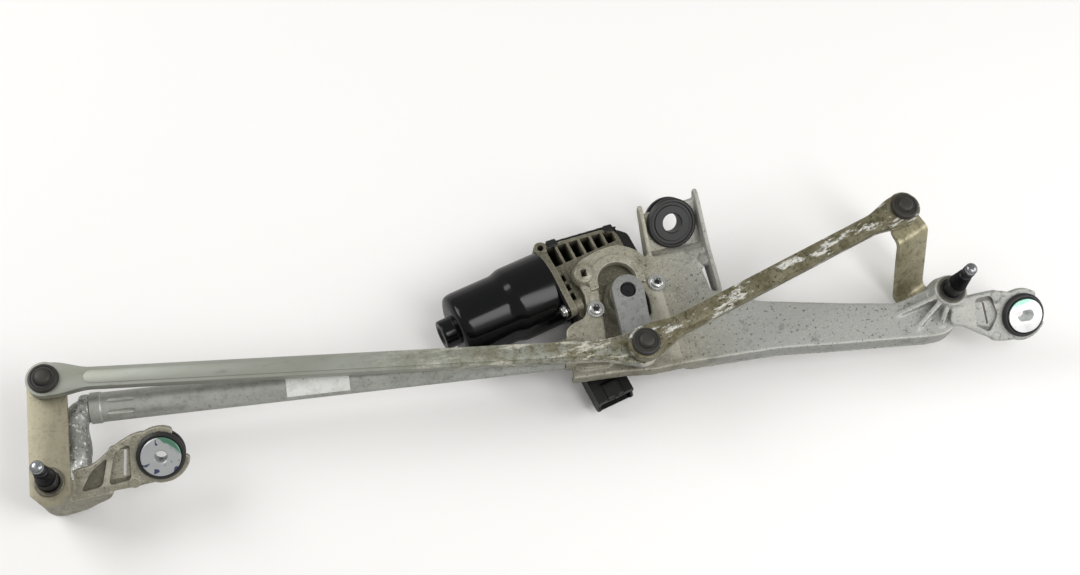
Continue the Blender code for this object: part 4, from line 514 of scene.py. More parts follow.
def publish(piece: Solid, name: str, body: str, finish: bpy.types.Material,
            nodes: Sequence[str] = ()) -> Solid:
    """Moves a finished piece into the frame and hands it over.

    Args:
        piece: The piece, in millimetres from the maker's datum.
        name: Its name.
        body: The frame's body that it rides on.
        finish: Its material.
        nodes: The frame's nodes that it stands for.

    Returns:
        The piece.
    """
    piece.name = name
    piece.data.name = name
    piece.data.transform(DATUM)
    piece.data.materials.clear()
    piece.data.materials.append(finish)
    piece.data.shade_smooth()
    piece.data.set_sharp_from_angle(angle=SMOOTH_ANGLE)
    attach(piece, body)
    if nodes:
        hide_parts(*nodes)
    LOG.info("%s: %d faces on %s", name, len(piece.data.polygons), body)
    return piece


# Materials


def linear(colour: str) -> tuple[float, float, float, float]:
    """Turns an sRGB hex colour to Blender's linear values.

    Args:
        colour: The colour, as six hex digits.

    Returns:
        Red, green, blue and a full alpha.
    """
    values = [int(colour[i : i + 2], 16) / 255 for i in (0, 2, 4)]
    r, g, b = (v / 12.92 if v <= 0.04045 else ((v + 0.055) / 1.055) ** 2.4 for v in values)
    return (r, g, b, 1.0)


def add(tree: bpy.types.NodeTree, kind: str, inputs: dict | None = None, output: int | str = 0,
        **settings: object) -> Socket | None:
    """Adds a node with its settings, values and links.

    Args:
        tree: The node tree.
        kind: The node's type.
        inputs: Input name or index to a value, or to the output that feeds it.
        output: Name or index of the output that is wanted.
        settings: The node's own settings.

    Returns:
        The wanted output, if the node has any.
    """
    node = tree.nodes.new(kind)
    for key, value in settings.items():
        setattr(node, key, value)
    for key, value in (inputs or {}).items():
        if isinstance(value, Socket):
            tree.links.new(value, node.inputs[key])
        else:
            node.inputs[key].default_value = value
    return node.outputs[output] if len(node.outputs) else None


@dataclass(frozen=True)
class Layer:
    """A colour that shows through a mask."""

    mask: Socket
    colour: str


class Ground:
    """A material in the making: its tree, its shader and the patterns that the finishes share."""

    def __init__(self, name: str) -> None:
        """Starts the material.

        Args:
            name: Its name.
        """
        self.material = bpy.data.materials.new(name)
        self.material.use_nodes = True
        self.tree = self.material.node_tree
        self.shader = self.tree.nodes["Principled BSDF"]
        self.place = add(self.tree, "ShaderNodeTexCoord", output="Object")

    def along(self, degrees: float, stretch: float) -> Socket:
        """Object coordinates turned to a piece's heading and drawn out along it.

        Args:
            degrees: The heading from +X.
            stretch: How many times longer than wide the pattern's marks become.

        Returns:
            The coordinates.
        """
        turned_place = add(
            self.tree, "ShaderNodeMapping", {"Vector": self.place, "Rotation": (0, 0, -math.radians(degrees))}
        )
        return add(self.tree, "ShaderNodeMapping", {"Vector": turned_place, "Scale": (1 / stretch, 1, 1)})

    def patches(self, size_mm: float, low: float, high: float, share: float = 1.0, detail: float = 3.0,
                ragged: float = 0.55, place: Socket | None = None) -> Socket:
        """A mask of cloudy patches.

        Args:
            size_mm: How far apart the patches are.
            low: Noise value at which a patch starts.
            high: Noise value at which it is full.
            share: How strong a full patch is.
            detail: Octaves of finer marks.
            ragged: How strong the finer marks are.
            place: Coordinates, if not the object's own.

        Returns:
            The mask.
        """
        noise = add(self.tree, "ShaderNodeTexNoise", {"Vector": place or self.place, "Scale": 1000 / size_mm,
                                                      "Detail": detail, "Roughness": ragged})
        return add(self.tree, "ShaderNodeMapRange", {0: noise, 1: low, 2: high, 4: share})

    def corners(self, low: float, high: float, share: float) -> Socket:
        """A mask of raised edges, or of hollows where `low` is over `high`, from the mesh's curvature."""
        bend = add(self.tree, "ShaderNodeNewGeometry", output="Pointiness")
        return add(self.tree, "ShaderNodeMapRange", {0: bend, 1: low, 2: high, 4: share})

    def beyond(self, axis: str, start: float, end: float) -> Socket:
        """A mask that grows from one place to another along an axis, in metres."""
        there = add(self.tree, "ShaderNodeSeparateXYZ", {0: self.place}, axis)
        return add(self.tree, "ShaderNodeMapRange", {0: there, 1: start, 2: end})

    def both(self, first: Socket, second: Socket) -> Socket:
        """Where two masks meet."""
        return add(self.tree, "ShaderNodeMath", {0: first, 1: second}, operation="MULTIPLY")

    def painted(self, base: str, layers: Sequence[Layer]) -> Socket:
        """Colours laid over one another.

        Args:
            base: The lowest colour.
            layers: What lies over it, from the lowest up.

        Returns:
            The colour.
        """
        colour: object = linear(base)
        for layer in layers:
            colour = add(
                self.tree, "ShaderNodeMix", {0: layer.mask, 6: colour, 7: linear(layer.colour)}, 2,
                data_type="RGBA")
        return colour

    def grained(self, size_mm: float, depth_mm: float, strength: float, place: Socket | None = None) -> None:
        """Gives the surface a fine relief of grains `size_mm` across.

        Args:
            size_mm: How far apart the grains are.
            depth_mm: How deep the relief is.
            strength: How much of it shows.
            place: Coordinates, if not the object's own.
        """
        height = add(
            self.tree, "ShaderNodeTexNoise",
            {"Vector": place or self.place, "Scale": 1000 / size_mm, "Detail": 3.0, "Roughness": 0.65})
        normal = add(
            self.tree, "ShaderNodeBump", {"Height": height, "Distance": depth_mm / 1000, "Strength": strength}
        )
        self.tree.links.new(normal, self.shader.inputs["Normal"])

    def done(self, **sockets: object) -> bpy.types.Material:
        """Sets or links the shader's inputs, whose names have underscores for spaces.

        Args:
            sockets: Input name to its value or source.

        Returns:
            The finished material.
        """
        for key, value in sockets.items():
            socket = self.shader.inputs[key.replace("_", " ")]
            if isinstance(value, Socket):
                self.tree.links.new(value, socket)
            else:
                socket.default_value = value
        return self.material


@dataclass(frozen=True)
class DieCasting:
    """Die-cast aluminium as cast: a dull grainy skin, dark pores, lighter edges from wear, painted shade in
    its hollows, light flecks (wear on the frame and housing, painted glints on the neck) and a colour that
    grows along one axis.
    """

    name: str
    base: str
    shade: str
    pore_and_hollow_shade: str
    worn_and_glint: str
    tone_and_shade: str
    tone_and_shade_span: tuple[str, float, float]
    grain_mm: float = 1.1
    fleck: float = 0.4
    roughness: float = 0.5
    metallic: float = 0.35

    def build(self) -> bpy.types.Material:
        """Makes the material; its grain is coarser than real sand grain, so that it shows.

        Returns:
            The material.
        """
        ground = Ground(self.name)
        colour = ground.painted(self.base, [
            Layer(ground.patches(34, 0.36, 0.68, 0.9), self.shade),
            Layer(ground.patches(7, 0.44, 0.66, 0.6, 5, 0.65), self.shade),
            # A colour that grows along one axis: the beam's own grey tone on the frame, painted shade that
            # darkens the gear housing's lower parts, pockets and side walls, and nothing on the neck.
            Layer(ground.beyond(*self.tone_and_shade_span), self.tone_and_shade),
            Layer(ground.patches(16, 0.56, 0.70, 0.5, 5, 0.7), self.pore_and_hollow_shade),
            # Light flecks: wear on the frame and housing, painted glints on the neck, where this colour is
            # near white.
            Layer(ground.patches(self.grain_mm * 1.4, 0.56, 0.68, self.fleck, 2, 0.7), self.worn_and_glint),
            Layer(ground.patches(self.grain_mm * 2.4, 0.59, 0.65, 0.75, 3, 0.75), self.pore_and_hollow_shade),
            Layer(ground.corners(0.52, 0.58, 0.6), self.worn_and_glint),
            # Painted shade: hollows and inner corners darkened in the colour of the pores.
            Layer(ground.corners(0.48, 0.42, 0.6), self.pore_and_hollow_shade),
        ])
        ground.grained(self.grain_mm, 0.14, 0.55)
        return ground.done(Base_Color=colour, Metallic=self.metallic, Roughness=self.roughness)


@dataclass(frozen=True)
class WornSteel:
    """Stamped and chromated steel: a satin film, stained by age, with bright scuffs along its length."""

    name: str
    base: str
    stain: str
    bright: str
    heading: float
    worn_from: float
    worn_to: float
    wear: float = 0.5
    roughness: float = 0.38
    metallic: float = 0.45
    scuffed: float = 0.51

    def build(self) -> bpy.types.Material:
        """Makes the material; the wear grows from one X to another.

        Returns:
            The material.
        """
        ground = Ground(self.name)
        run = ground.along(self.heading, 4.0)
        there = ground.beyond("X", self.worn_from, self.worn_to)
        chips = ground.patches(2.2, 0.38, 0.5, 1, 4, 0.75)
        scuffs = ground.both(
            ground.both(ground.patches(7, self.scuffed, self.scuffed + 0.06, self.wear, 5, 0.7, run), there),
            chips)
        colour = ground.painted(self.base, [
            Layer(ground.patches(30, 0.4, 0.65, 0.35, 4, 0.55, run), self.stain),
            Layer(ground.patches(9, 0.58, 0.72, 0.4, 5, 0.7, run), "4A4A42"),
            Layer(ground.both(ground.patches(12, 0.34, 0.60, 1.0, 5, 0.6), there), self.stain),
            Layer(ground.both(ground.patches(6, 0.52, 0.66, 0.6, 5, 0.7), there), "4B472F"),
            Layer(ground.both(ground.patches(2.6, 0.57, 0.63, 0.9, 4, 0.75), there), "2A271B"),
            Layer(scuffs, self.bright),
        ])
        ground.grained(1.4, 0.1, 0.5, run)
        rough = add(ground.tree, "ShaderNodeMapRange", {0: scuffs, 3: self.roughness, 4: 0.25})
        return ground.done(Base_Color=colour, Metallic=self.metallic, Roughness=rough)


@dataclass(frozen=True)
class TurnedSteel:
    """Turned or plated steel: an even metal with a fine grain, and dark marks where hands and oil were."""

    name: str
    base: str
    mark: str
    marks: float = 0.35
    roughness: float = 0.26
    metallic: float = 0.85

    def build(self) -> bpy.types.Material:
        """Makes the material.

        Returns:
            The material.
        """
        ground = Ground(self.name)
        colour = ground.painted(self.base, [
            Layer(ground.patches(5, 0.45, 0.70, self.marks, 5), self.mark),
            Layer(ground.patches(1.8, 0.60, 0.68, self.marks, 3, 0.7), self.mark),
        ])
        ground.grained(1.2, 0.04, 0.4)
        return ground.done(Base_Color=colour, Metallic=self.metallic, Roughness=self.roughness)


@dataclass(frozen=True)
class DaubedZinc:
    """Bright zinc plate on a pressed washer, with a daub of inspection paint on one side of its face."""

    name: str
    base: str
    paint: str
    centre: tuple[float, float]
    towards: tuple[float, float]
    reach: float
    dots: str = ""

    def build(self) -> bpy.types.Material:
        """Makes the material; the daub starts `reach` metres from the centre.

        Returns:
            The material.
        """
        ground = Ground(self.name)
        shift = add(
            ground.tree, "ShaderNodeMapping",
            {"Vector": ground.place, "Location": (-self.centre[0], -self.centre[1], 0)})
        side = add(
            ground.tree, "ShaderNodeVectorMath", {0: shift, 1: (*self.towards, 0)}, 1, operation="DOT_PRODUCT"
        )
        cloud = add(
            ground.tree, "ShaderNodeTexNoise", {"Vector": ground.place, "Scale": 300.0, "Detail": 4.0})
        edge = add(ground.tree, "ShaderNodeMath", {0: cloud, 1: 0.006, 2: side}, operation="MULTIPLY_ADD")
        daub = add(ground.tree, "ShaderNodeMapRange", {0: edge, 1: self.reach, 2: self.reach + 0.001, 4: 0.8})
        layers = [Layer(ground.patches(8, 0.46, 0.70, 0.25), "8F9291")]
        if self.dots:
            layers.append(Layer(ground.patches(6.5, 0.66, 0.68, 0.9, 1), self.dots))
        ground.grained(1.5, 0.04, 0.35)
        return ground.done(
            Base_Color=ground.painted(self.base, [*layers, Layer(daub, self.paint)]), Metallic=0.35,
            Roughness=0.33)


@dataclass(frozen=True)
class Moulding:
    """Moulded plastic or rubber: nearly one colour, a fine die texture, dust in patches."""

    name: str
    base: str
    dust: str
    roughness: float
    dusty: float = 0.3
    grain_mm: float = 0.9
    depth_mm: float = 0.06

    def build(self) -> bpy.types.Material:
        """Makes the material.

        Returns:
            The material.
        """
        ground = Ground(self.name)
        dust = ground.patches(10, 0.42, 0.72, self.dusty, 5)
        colour = ground.painted(self.base, [Layer(dust, self.dust)])
        ground.grained(self.grain_mm, self.depth_mm, 0.5)
        rough = add(ground.tree, "ShaderNodeMapRange", {0: dust, 3: self.roughness, 4: self.roughness + 0.35})
        return ground.done(Base_Color=colour, Roughness=rough)


@dataclass(frozen=True)
class GlossEnamel:
    """Black enamel dipped on drawn steel: deep and glossy, so it mirrors the lamps, with a few dull rubs."""

    name: str = "gloss_black_enamel"
    roughness: float = 0.17
    mirror: float = 0.22
    coat: float = 0.15

    def build(self) -> bpy.types.Material:
        """Makes the material, less of a mirror than real enamel, as this studio's sky is bright.

        Returns:
            The material.
        """
        ground = Ground(self.name)
        rubs = ground.patches(3.5, 0.64, 0.71, 0.3, 5, 0.75)
        colour = ground.painted("050607", [Layer(rubs, "2C3033")])
        return ground.done(
            Base_Color=colour, Roughness=self.roughness, Specular_IOR_Level=self.mirror,
            Coat_Weight=self.coat, Coat_Roughness=0.09)


@dataclass(frozen=True)
class BlankPaper:
    """White paper sticker, left blank: satin, with dirty patches."""

    name: str = "blank_paper_sticker"

    def build(self) -> bpy.types.Material:
        """Makes the material.

        Returns:
            The material.
        """
        ground = Ground(self.name)
        dark_marks = [
            Layer(ground.patches(9, 0.48, 0.75, 0.35, 5), "9C9A90"),
            Layer(ground.patches(2, 0.62, 0.68, 0.4), "8A877B")]
        ground.grained(0.8, 0.03, 0.3)
        return ground.done(Base_Color=ground.painted("F1F2EE", dark_marks), Roughness=0.5)


class Finishes:
    """Every finish of the motor and its linkage, built once."""

    def __init__(self) -> None:
        """Builds the materials."""
        beam = ("X", 0.09, 0.15)
        deep = ("Z", 0.0395, 0.029)
        nowhere = ("X", 1.0, 2.0)
        self.frame = DieCasting(
            "cast_frame_aluminium", "A5A292", "848070", "3E3B2D", "D2CFC0", "A8A9A5", beam).build()
        # The gear housing's second colour, 2B281E, is painted shade: it darkens the casting from Z 0.0395 m
        # down to 0.029 m, into its pockets and down its side walls.
        self.housing = DieCasting(
            "cast_gearbox_aluminium", "7E7A69", "5B5748", "2D2A20", "B9B6A6", "2B281E", deep).build()
        # The neck's near-white FBFBF9 flecks are painted glints on its shot-blasted skin.
        self.neck = DieCasting(
            "shot_blasted_neck_casting", "A9AAA6", "868681", "4A4A44", "FBFBF9", "A9AAA6", nowhere, 1.9, 0.85,
            0.4, 0.5).build()
        self.left_link = WornSteel(
            "grey_link_steel", "A0A39B", "767156", "E8E5D4", 0.4, -0.16, 0.03, 0.95).build()
        self.right_link = WornSteel(
            "khaki_link_steel", "8B866F", "6A654D", "F2F2EC", 15.5, -0.5, -0.4, 0.95, 0.38, 0.45, 0.55
        ).build()
        self.left_lever = WornSteel(
            "pale_khaki_lever_steel", "A29C86", "918B74", "C4C0AB", 84.0, -0.6, 0.2, 0.12).build()
        self.right_lever = WornSteel(
            "olive_lever_steel", "BAB395", "979073", "BAB598", 110.0, -0.5, 0.6, 0.12).build()
        self.crank = WornSteel(
            "grey_forged_crank_steel", "9A9B99", "838482", "A9AAA8", 86.0, -0.3, 0.5, 0.25, 0.45).build()
        self.tube = WornSteel(
            "satin_grey_tube_steel", "BABCB5", "9DA098", "AEB0AA", -5.7, -0.6, 0.4, 0.12, 0.4).build()
        self.enamel = GlossEnamel().build()
        self.zinc = TurnedSteel("bright_zinc_on_steel", "C9CAC8", "5F5E59").build()
        self.dark_steel = TurnedSteel("dark_phosphated_steel", "343437", "191919", 0.4, 0.36).build()
        self.bright_steel = TurnedSteel("bright_turned_steel", "A9ABAE", "3A3A3C", 0.6, 0.26).build()
        self.washer = TurnedSteel("dull_washer_steel", "7D796D", "3D392F", 0.5, 0.34).build()
        self.rubber = Moulding("moulded_black_rubber", "1B1B1C", "46443F", 0.45, 0.2).build()
        self.cap = Moulding("greasy_nylon_cap", "2A2825", "433D31", 0.46, 0.35).build()
        self.plastic = Moulding("moulded_black_nylon", "08090A", "35352F", 0.36, 0.15).build()
        self.left_face = DaubedZinc(
            "zinc_left_washer", "B4B8B8", "1E7350", (-0.3013, -0.038), (0.65, 0.75), 0.0112, "23265E").build()
        # The right washer's near-white base, FCFDFD, is a painted highlight: the same zinc as the left
        # washer, painted as if a lamp glared on it.
        self.right_face_painted_highlight = DaubedZinc(
            "zinc_right_washer", "FCFDFD", "7FCDB2", (0.376, -0.072), (-0.15, 1.0), 0.0105).build()
        self.sticker = BlankPaper().build()
        self.bronze = TurnedSteel("sintered_bronze", "9C7A4C", "5E4526", 0.4, 0.42).build()
        self.copper = TurnedSteel("enamelled_copper", "A8582C", "6B3215", 0.3, 0.35).build()
        self.laminations = TurnedSteel("laminated_core_steel", "6F7173", "47474A", 0.4, 0.4).build()
        self.ferrite = Moulding("pressed_ferrite", "2C2C2E", "4C4C4C", 0.6, 0.3).build()
        self.carbon = Moulding("pressed_carbon", "1B1B1C", "3B3B3B", 0.7, 0.3).build()
        self.acetal = Moulding("moulded_acetal", "D8D4C6", "B5AE97", 0.4, 0.3).build()


# Geometry Nodes


class Grower:
    """A geometry node tree with named inputs that makes one plain mesh."""

    def __init__(self, name: str, inputs: dict[str, str]) -> None:
        """Starts the tree.

        Args:
            name: Its name.
            inputs: Input name to its socket's type, without the common prefix.
        """
        self.tree = bpy.data.node_groups.new(name, "GeometryNodeTree")
        sockets = {"Geometry": "Geometry", **inputs, "Finish": "Material"}
        for key, kind in sockets.items():
            self.tree.interface.new_socket(key, in_out="INPUT", socket_type="NodeSocket" + kind)
        self.tree.interface.new_socket("Geometry", in_out="OUTPUT", socket_type="NodeSocketGeometry")
        self.given = self.tree.nodes.new("NodeGroupInput").outputs

    def ends_with(self, shape: Socket) -> Grower:
        """Closes the tree: its copies become real and take their finish.

        Args:
            shape: What the tree has made.

        Returns:
            The tree, ready to grow pieces.
        """
        real = add(self.tree, "GeometryNodeRealizeInstances", {0: shape})
        dressed = add(
            self.tree, "GeometryNodeSetMaterial", {"Geometry": real, "Material": self.given["Finish"]})
        add(self.tree, "NodeGroupOutput", {0: dressed})
        return self

    def grow(
        self, values: dict[str, object], start: Sequence[Vector] = (), place: Matrix | None = None) -> Solid:
        """Makes a piece.

        Args:
            values: Input name to its value.
            start: Points that the tree works on, if it takes any.
            place: Where the piece goes.

        Returns:
            The piece as a plain mesh.
        """
        mesh = bpy.data.meshes.new("grown")
        mesh.from_pydata([tuple(point) for point in start], [], [])
        piece = linked(mesh)
        modifier = piece.modifiers.new("grow", "NODES")
        modifier.node_group = self.tree
        for item in self.tree.interface.items_tree:
            if item.in_out == "INPUT" and item.name in values:
                modifier[item.identifier] = values[item.name]
        return baked(piece, place)


def knurl_tree() -> Grower:
    """Tree of a cone with sharp ridges down its side.

    Returns:
        The tree, ready to grow pieces.
    """
    grower = Grower(
        "knurled_cone",
        {
            "Ridges": "Int", "Top Radius": "Float", "Bottom Radius": "Float", "Height": "Float",
            "Depth": "Float"})
    tree, given = grower.tree, grower.given
    sides = add(tree, "ShaderNodeMath", {0: given["Ridges"], 1: 2.0}, operation="MULTIPLY")
    cone = add(
        tree, "GeometryNodeMeshCone",
        {
            "Vertices": sides, "Radius Top": given["Top Radius"], "Radius Bottom": given["Bottom Radius"],
            "Depth": given["Height"]}, "Mesh")
    odd = add(tree, "ShaderNodeMath", {0: add(tree, "GeometryNodeInputIndex"), 1: 2.0}, operation="MODULO")
    lost = add(tree, "ShaderNodeMath", {0: odd, 1: given["Depth"]}, operation="MULTIPLY")
    share = add(tree, "ShaderNodeMath", {0: lost, 1: given["Bottom Radius"]}, operation="DIVIDE")
    keep = add(tree, "ShaderNodeMath", {0: 1.0, 1: share}, operation="SUBTRACT")
    scale = add(tree, "ShaderNodeCombineXYZ", {0: keep, 1: keep, 2: 1.0})
    moved = add(
        tree, "ShaderNodeVectorMath", {0: add(tree, "GeometryNodeInputPosition"), 1: scale},
        operation="MULTIPLY")
    return grower.ends_with(add(tree, "GeometryNodeSetPosition", {"Geometry": cone, "Position": moved}))


def thread_tree() -> Grower:
    """Tree of a screw thread, a small ridge that runs round a helix.

    Returns:
        The tree, ready to grow pieces.
    """
    grower = Grower(
        "screw_thread", {"Turns": "Float", "Radius": "Float", "Height": "Float", "Ridge": "Float"})
    tree, given = grower.tree, grower.given
    helix = add(
        tree, "GeometryNodeCurveSpiral",
        {
            "Resolution": 24, "Rotations": given["Turns"], "Start Radius": given["Radius"],
            "End Radius": given["Radius"], "Height": given["Height"]})
    ridge = add(tree, "GeometryNodeCurvePrimitiveCircle", {"Resolution": 4, "Radius": given["Ridge"]})
    swept = add(tree, "GeometryNodeCurveToMesh", {"Curve": helix, "Profile Curve": ridge, "Fill Caps": True})
    return grower.ends_with(swept)


def fastener_tree() -> Grower:
    """Tree that sets one fastener on every point, each turned as the driver happened to leave it.

    Returns:
        The tree, ready to grow pieces.
    """
    grower = Grower("fasteners_on_points", {"Fastener": "Object", "Turn": "Float", "Seed": "Int"})
    tree, given = grower.tree, grower.given
    turn_by = add(
        tree, "FunctionNodeRandomValue", {2: 0.0, 3: given["Turn"], "Seed": given["Seed"]}, 1,
        data_type="FLOAT")
    spin = add(tree, "ShaderNodeCombineXYZ", {2: turn_by})
    fastener = add(tree, "GeometryNodeObjectInfo", {"Object": given["Fastener"]}, "Geometry")
    return grower.ends_with(
        add(
            tree, "GeometryNodeInstanceOnPoints",
            {"Points": given["Geometry"], "Instance": fastener, "Rotation": spin}))


def blade_tree() -> Grower:
    """Tree of a row of terminal blades.

    Returns:
        The tree, ready to grow pieces.
    """
    grower = Grower("terminal_blades", {"Count": "Int", "Pitch": "Vector", "Blade": "Vector"})
    tree, given = grower.tree, grower.given
    row = add(tree, "GeometryNodeMeshLine", {"Count": given["Count"], "Offset": given["Pitch"]})
    blade = add(tree, "GeometryNodeMeshCube", {"Size": given["Blade"]}, "Mesh")
    return grower.ends_with(add(tree, "GeometryNodeInstanceOnPoints", {"Points": row, "Instance": blade}))


# The motor and its linkage


@dataclass(frozen=True)
class Layout:
    """Places that the sub-assemblies share, in millimetres from the maker's datum."""

    spacing: float = 700.0
    shaft: Point = (446.0, 54.5)
    crank: tuple[float, float] = (51.4, -93.9)
    left_lever: tuple[float, float] = (74.7, 84.3)
    right_lever: tuple[float, float] = (72.3, 109.8)
    motor_angle: float = 12.9
    motor_height: float = -32.0
    worm_distance: float = 37.0
    can_to_worm: float = 141.3
    tilt: float = 31.0
    left_seat: tuple[float, float, float] = (78.2, 6.9, -11.1)
    right_seat: tuple[float, float, float] = (755.5, -27.5, -15.0)
    top_seat: tuple[float, float, float] = (497.5, 107.5, -11.5)
    seat_bore: float = 14.6
    seat_radius: float = 21.0
    screw_circle: float = 27.2
    screw_angles: tuple[float, ...] = (194.0, 10.7, 283.0)
    can_ear_circle: float = 35.5
    can_ear_angles: tuple[float, ...] = (143.6, 323.6)
    tube_left: tuple[float, float, float] = (33.5, 54.3, -18.0)
    tube_right: Point = (386.0, 19.0)

    def pin(self) -> Point:
        """The crank pin's place."""
        return polar(*self.crank, self.shaft)

    def left_ball(self) -> Point:
        """The left lever's ball."""
        return polar(*self.left_lever)

    def right_ball(self) -> Point:
        """The right lever's ball."""
        return polar(*self.right_lever, (self.spacing, 0.0))

    def beside_motor(self, along: float, across: float) -> Point:
        """A plan point by its place along the motor's axis, from the can's end, and to the left of it.

        Args:
            along: Distance from the can's end.
            across: Distance to the left of the axis.

        Returns:
            The point.
        """
        reach_x, reach_y = polar(along - self.can_to_worm, self.motor_angle)
        side_x, side_y = polar(across + self.worm_distance, self.motor_angle + 90)
        return (self.shaft[0] + reach_x + side_x, self.shaft[1] + reach_y + side_y)

    def plan(self, points: Iterable[Point], radius: float = 0.0) -> Outline:
        """An outline through points beside the motor, its corners rounded if a radius is given."""
        outline = [self.beside_motor(*point) for point in points]
        return filleted(outline, radius) if radius else outline

    def motor(self) -> Matrix:
        """The motor's own frame: Z along its shaft from the can's end, Y up.

        Returns:
            The frame.
        """
        x, y = self.beside_motor(0, 0)
        along, across = polar(1, self.motor_angle), polar(1, self.motor_angle + 90)
        return Matrix(
            (
                (across[0], 0, along[0], x), (across[1], 0, along[1], y), (0, 1, 0, self.motor_height),
                (0, 0, 0, 1)))

    def tube(self) -> Matrix:
        """The tube's own frame: Z along it from its left end.

        Returns:
            The frame.
        """
        lean = math.degrees(
            math.atan2(self.tube_right[1] - self.tube_left[1], self.tube_right[0] - self.tube_left[0]))
        return put(*self.tube_left) @ turn(lean, "Z") @ turn(90, "Y")

    def tube_length(self) -> float:
        """The tube's length."""
        return math.hypot(self.tube_right[0] - self.tube_left[0], self.tube_right[1] - self.tube_left[1])

    def seat(self, centre: Sequence[float]) -> Matrix:
        """The tilted frame of one grommet seat."""
        return put(*centre) @ turn(self.tilt, "X")

    def screw_points(self) -> list[Point]:
        """Where the three mounting screws stand."""
        return [polar(self.screw_circle, angle, self.shaft) for angle in self.screw_angles]


def belt(radius: float, ear: float, layout: Layout) -> Outline:
    """Outline of a flange pulled round a circle and the can's two screw ears.

    Args:
        radius: The circle's radius.
        ear: Radius round each screw.
        layout: The shared places.

    Returns:
        The anticlockwise outline.
    """
    points = circle((0, 0), radius, 90)
    for angle in layout.can_ear_angles:
        points += circle(polar(layout.can_ear_circle, angle), ear, 30)
    rim: list[Outline] = []
    for ordered in (sorted(points), sorted(points, reverse=True)):
        run: Outline = []
        for x, y in ordered:
            while len(run) > 1:
                (ax, ay), (bx, by) = run[-2:]
                if (bx - ax) * (y - ay) > (by - ay) * (x - ax):
                    break
                run.pop()
            run.append((x, y))
        rim.append(run[:-1])
    return rim[0] + rim[1]


@dataclass(frozen=True)
class Assembly:
    """What every sub-assembly is built from: the shared places and the finishes."""

    layout: Layout
    finishes: Finishes


@dataclass(frozen=True)
class MotorCan(Assembly):
    """Deep-drawn motor can with its bearing boss, its flange and two hexagon screws."""

    nose: float = 28.0
    body: float = 30.5
    step_at: float = 58.0
    flange_at: float = 94.0
    wall: float = 1.8
    boss: float = 12.0
    boss_length: float = 11.0
    ear: float = 6.0

    def shell(self) -> Solid:
        """The drawn shell, its outside first and then its inside.

        Returns:
            The shell.
        """
        far = self.boss_length
        outside = [
            (0, 1.5), (6.2, 1.5), (7.4, 0.2), (9.5, 0), (self.boss - 0.2, 0.4), (self.boss, 2),
            (self.boss, far - 0.4), (self.boss + 1.4, far), (self.nose - 7, far + 0.2),
            (self.nose - 1.2, far + 2.2), (self.nose, far + 7), (self.nose, self.step_at - 4),
            (self.body, self.step_at + 3.5), (self.body, self.flange_at)]
        inside = [
            (self.body - self.wall, self.flange_at), (self.body - self.wall, self.step_at + 5),
            (self.nose - self.wall, self.step_at), (self.nose - self.wall, far + 7),
            (self.nose - 7, far + self.wall), (self.boss - self.wall, far + self.wall),
            (self.boss - self.wall, 3.4), (0, 3.4)]
        return turned(filleted(outside, 2.4, False, 4) + inside, self.layout.motor(), steps=96)

    def screws(self) -> Solid:
        """Two hexagon screws with pressed washers, grown on the ears' places.

        Returns:
            Both screws as one mesh.
        """
        head = slab([circle((0, 0), 4.2, 6)], -3.3, -0.6, edge=0.5)
        washer = drum(5.0, -0.9, 0, steps=36)
        whole = merged([head, washer, drum(2.0, -1, 10.5, steps=20)])
        spin = self.layout.motor().to_3x3().to_4x4()
        whole.data.transform(spin)
        seat = self.flange_at - self.wall - 0.3
        points = [self.layout.motor() @ Vector((*polar(self.layout.can_ear_circle, angle), seat))
                  for angle in self.layout.can_ear_angles]
        grown = fastener_tree().grow(
            {"Fastener": whole, "Turn": 0.0, "Seed": 3, "Finish": self.finishes.zinc}, points)
        bpy.data.objects.remove(whole, do_unlink=True)
        return grown

    def build(self) -> None:
        """Makes and dresses the can's pieces."""
        flange = slab(
            [belt(self.body - 0.3, self.ear, self.layout)], self.flange_at - self.wall, self.flange_at,
            self.layout.motor(), 0.45)
        can = merged([self.shell(), flange])
        publish(can, "drawn_motor_can", "frame", self.finishes.enamel, ["motor_can"])
        publish(
            self.screws(), "can_screws", "frame", self.finishes.zinc,
            ["can_screw_1", "can_screw_2"])


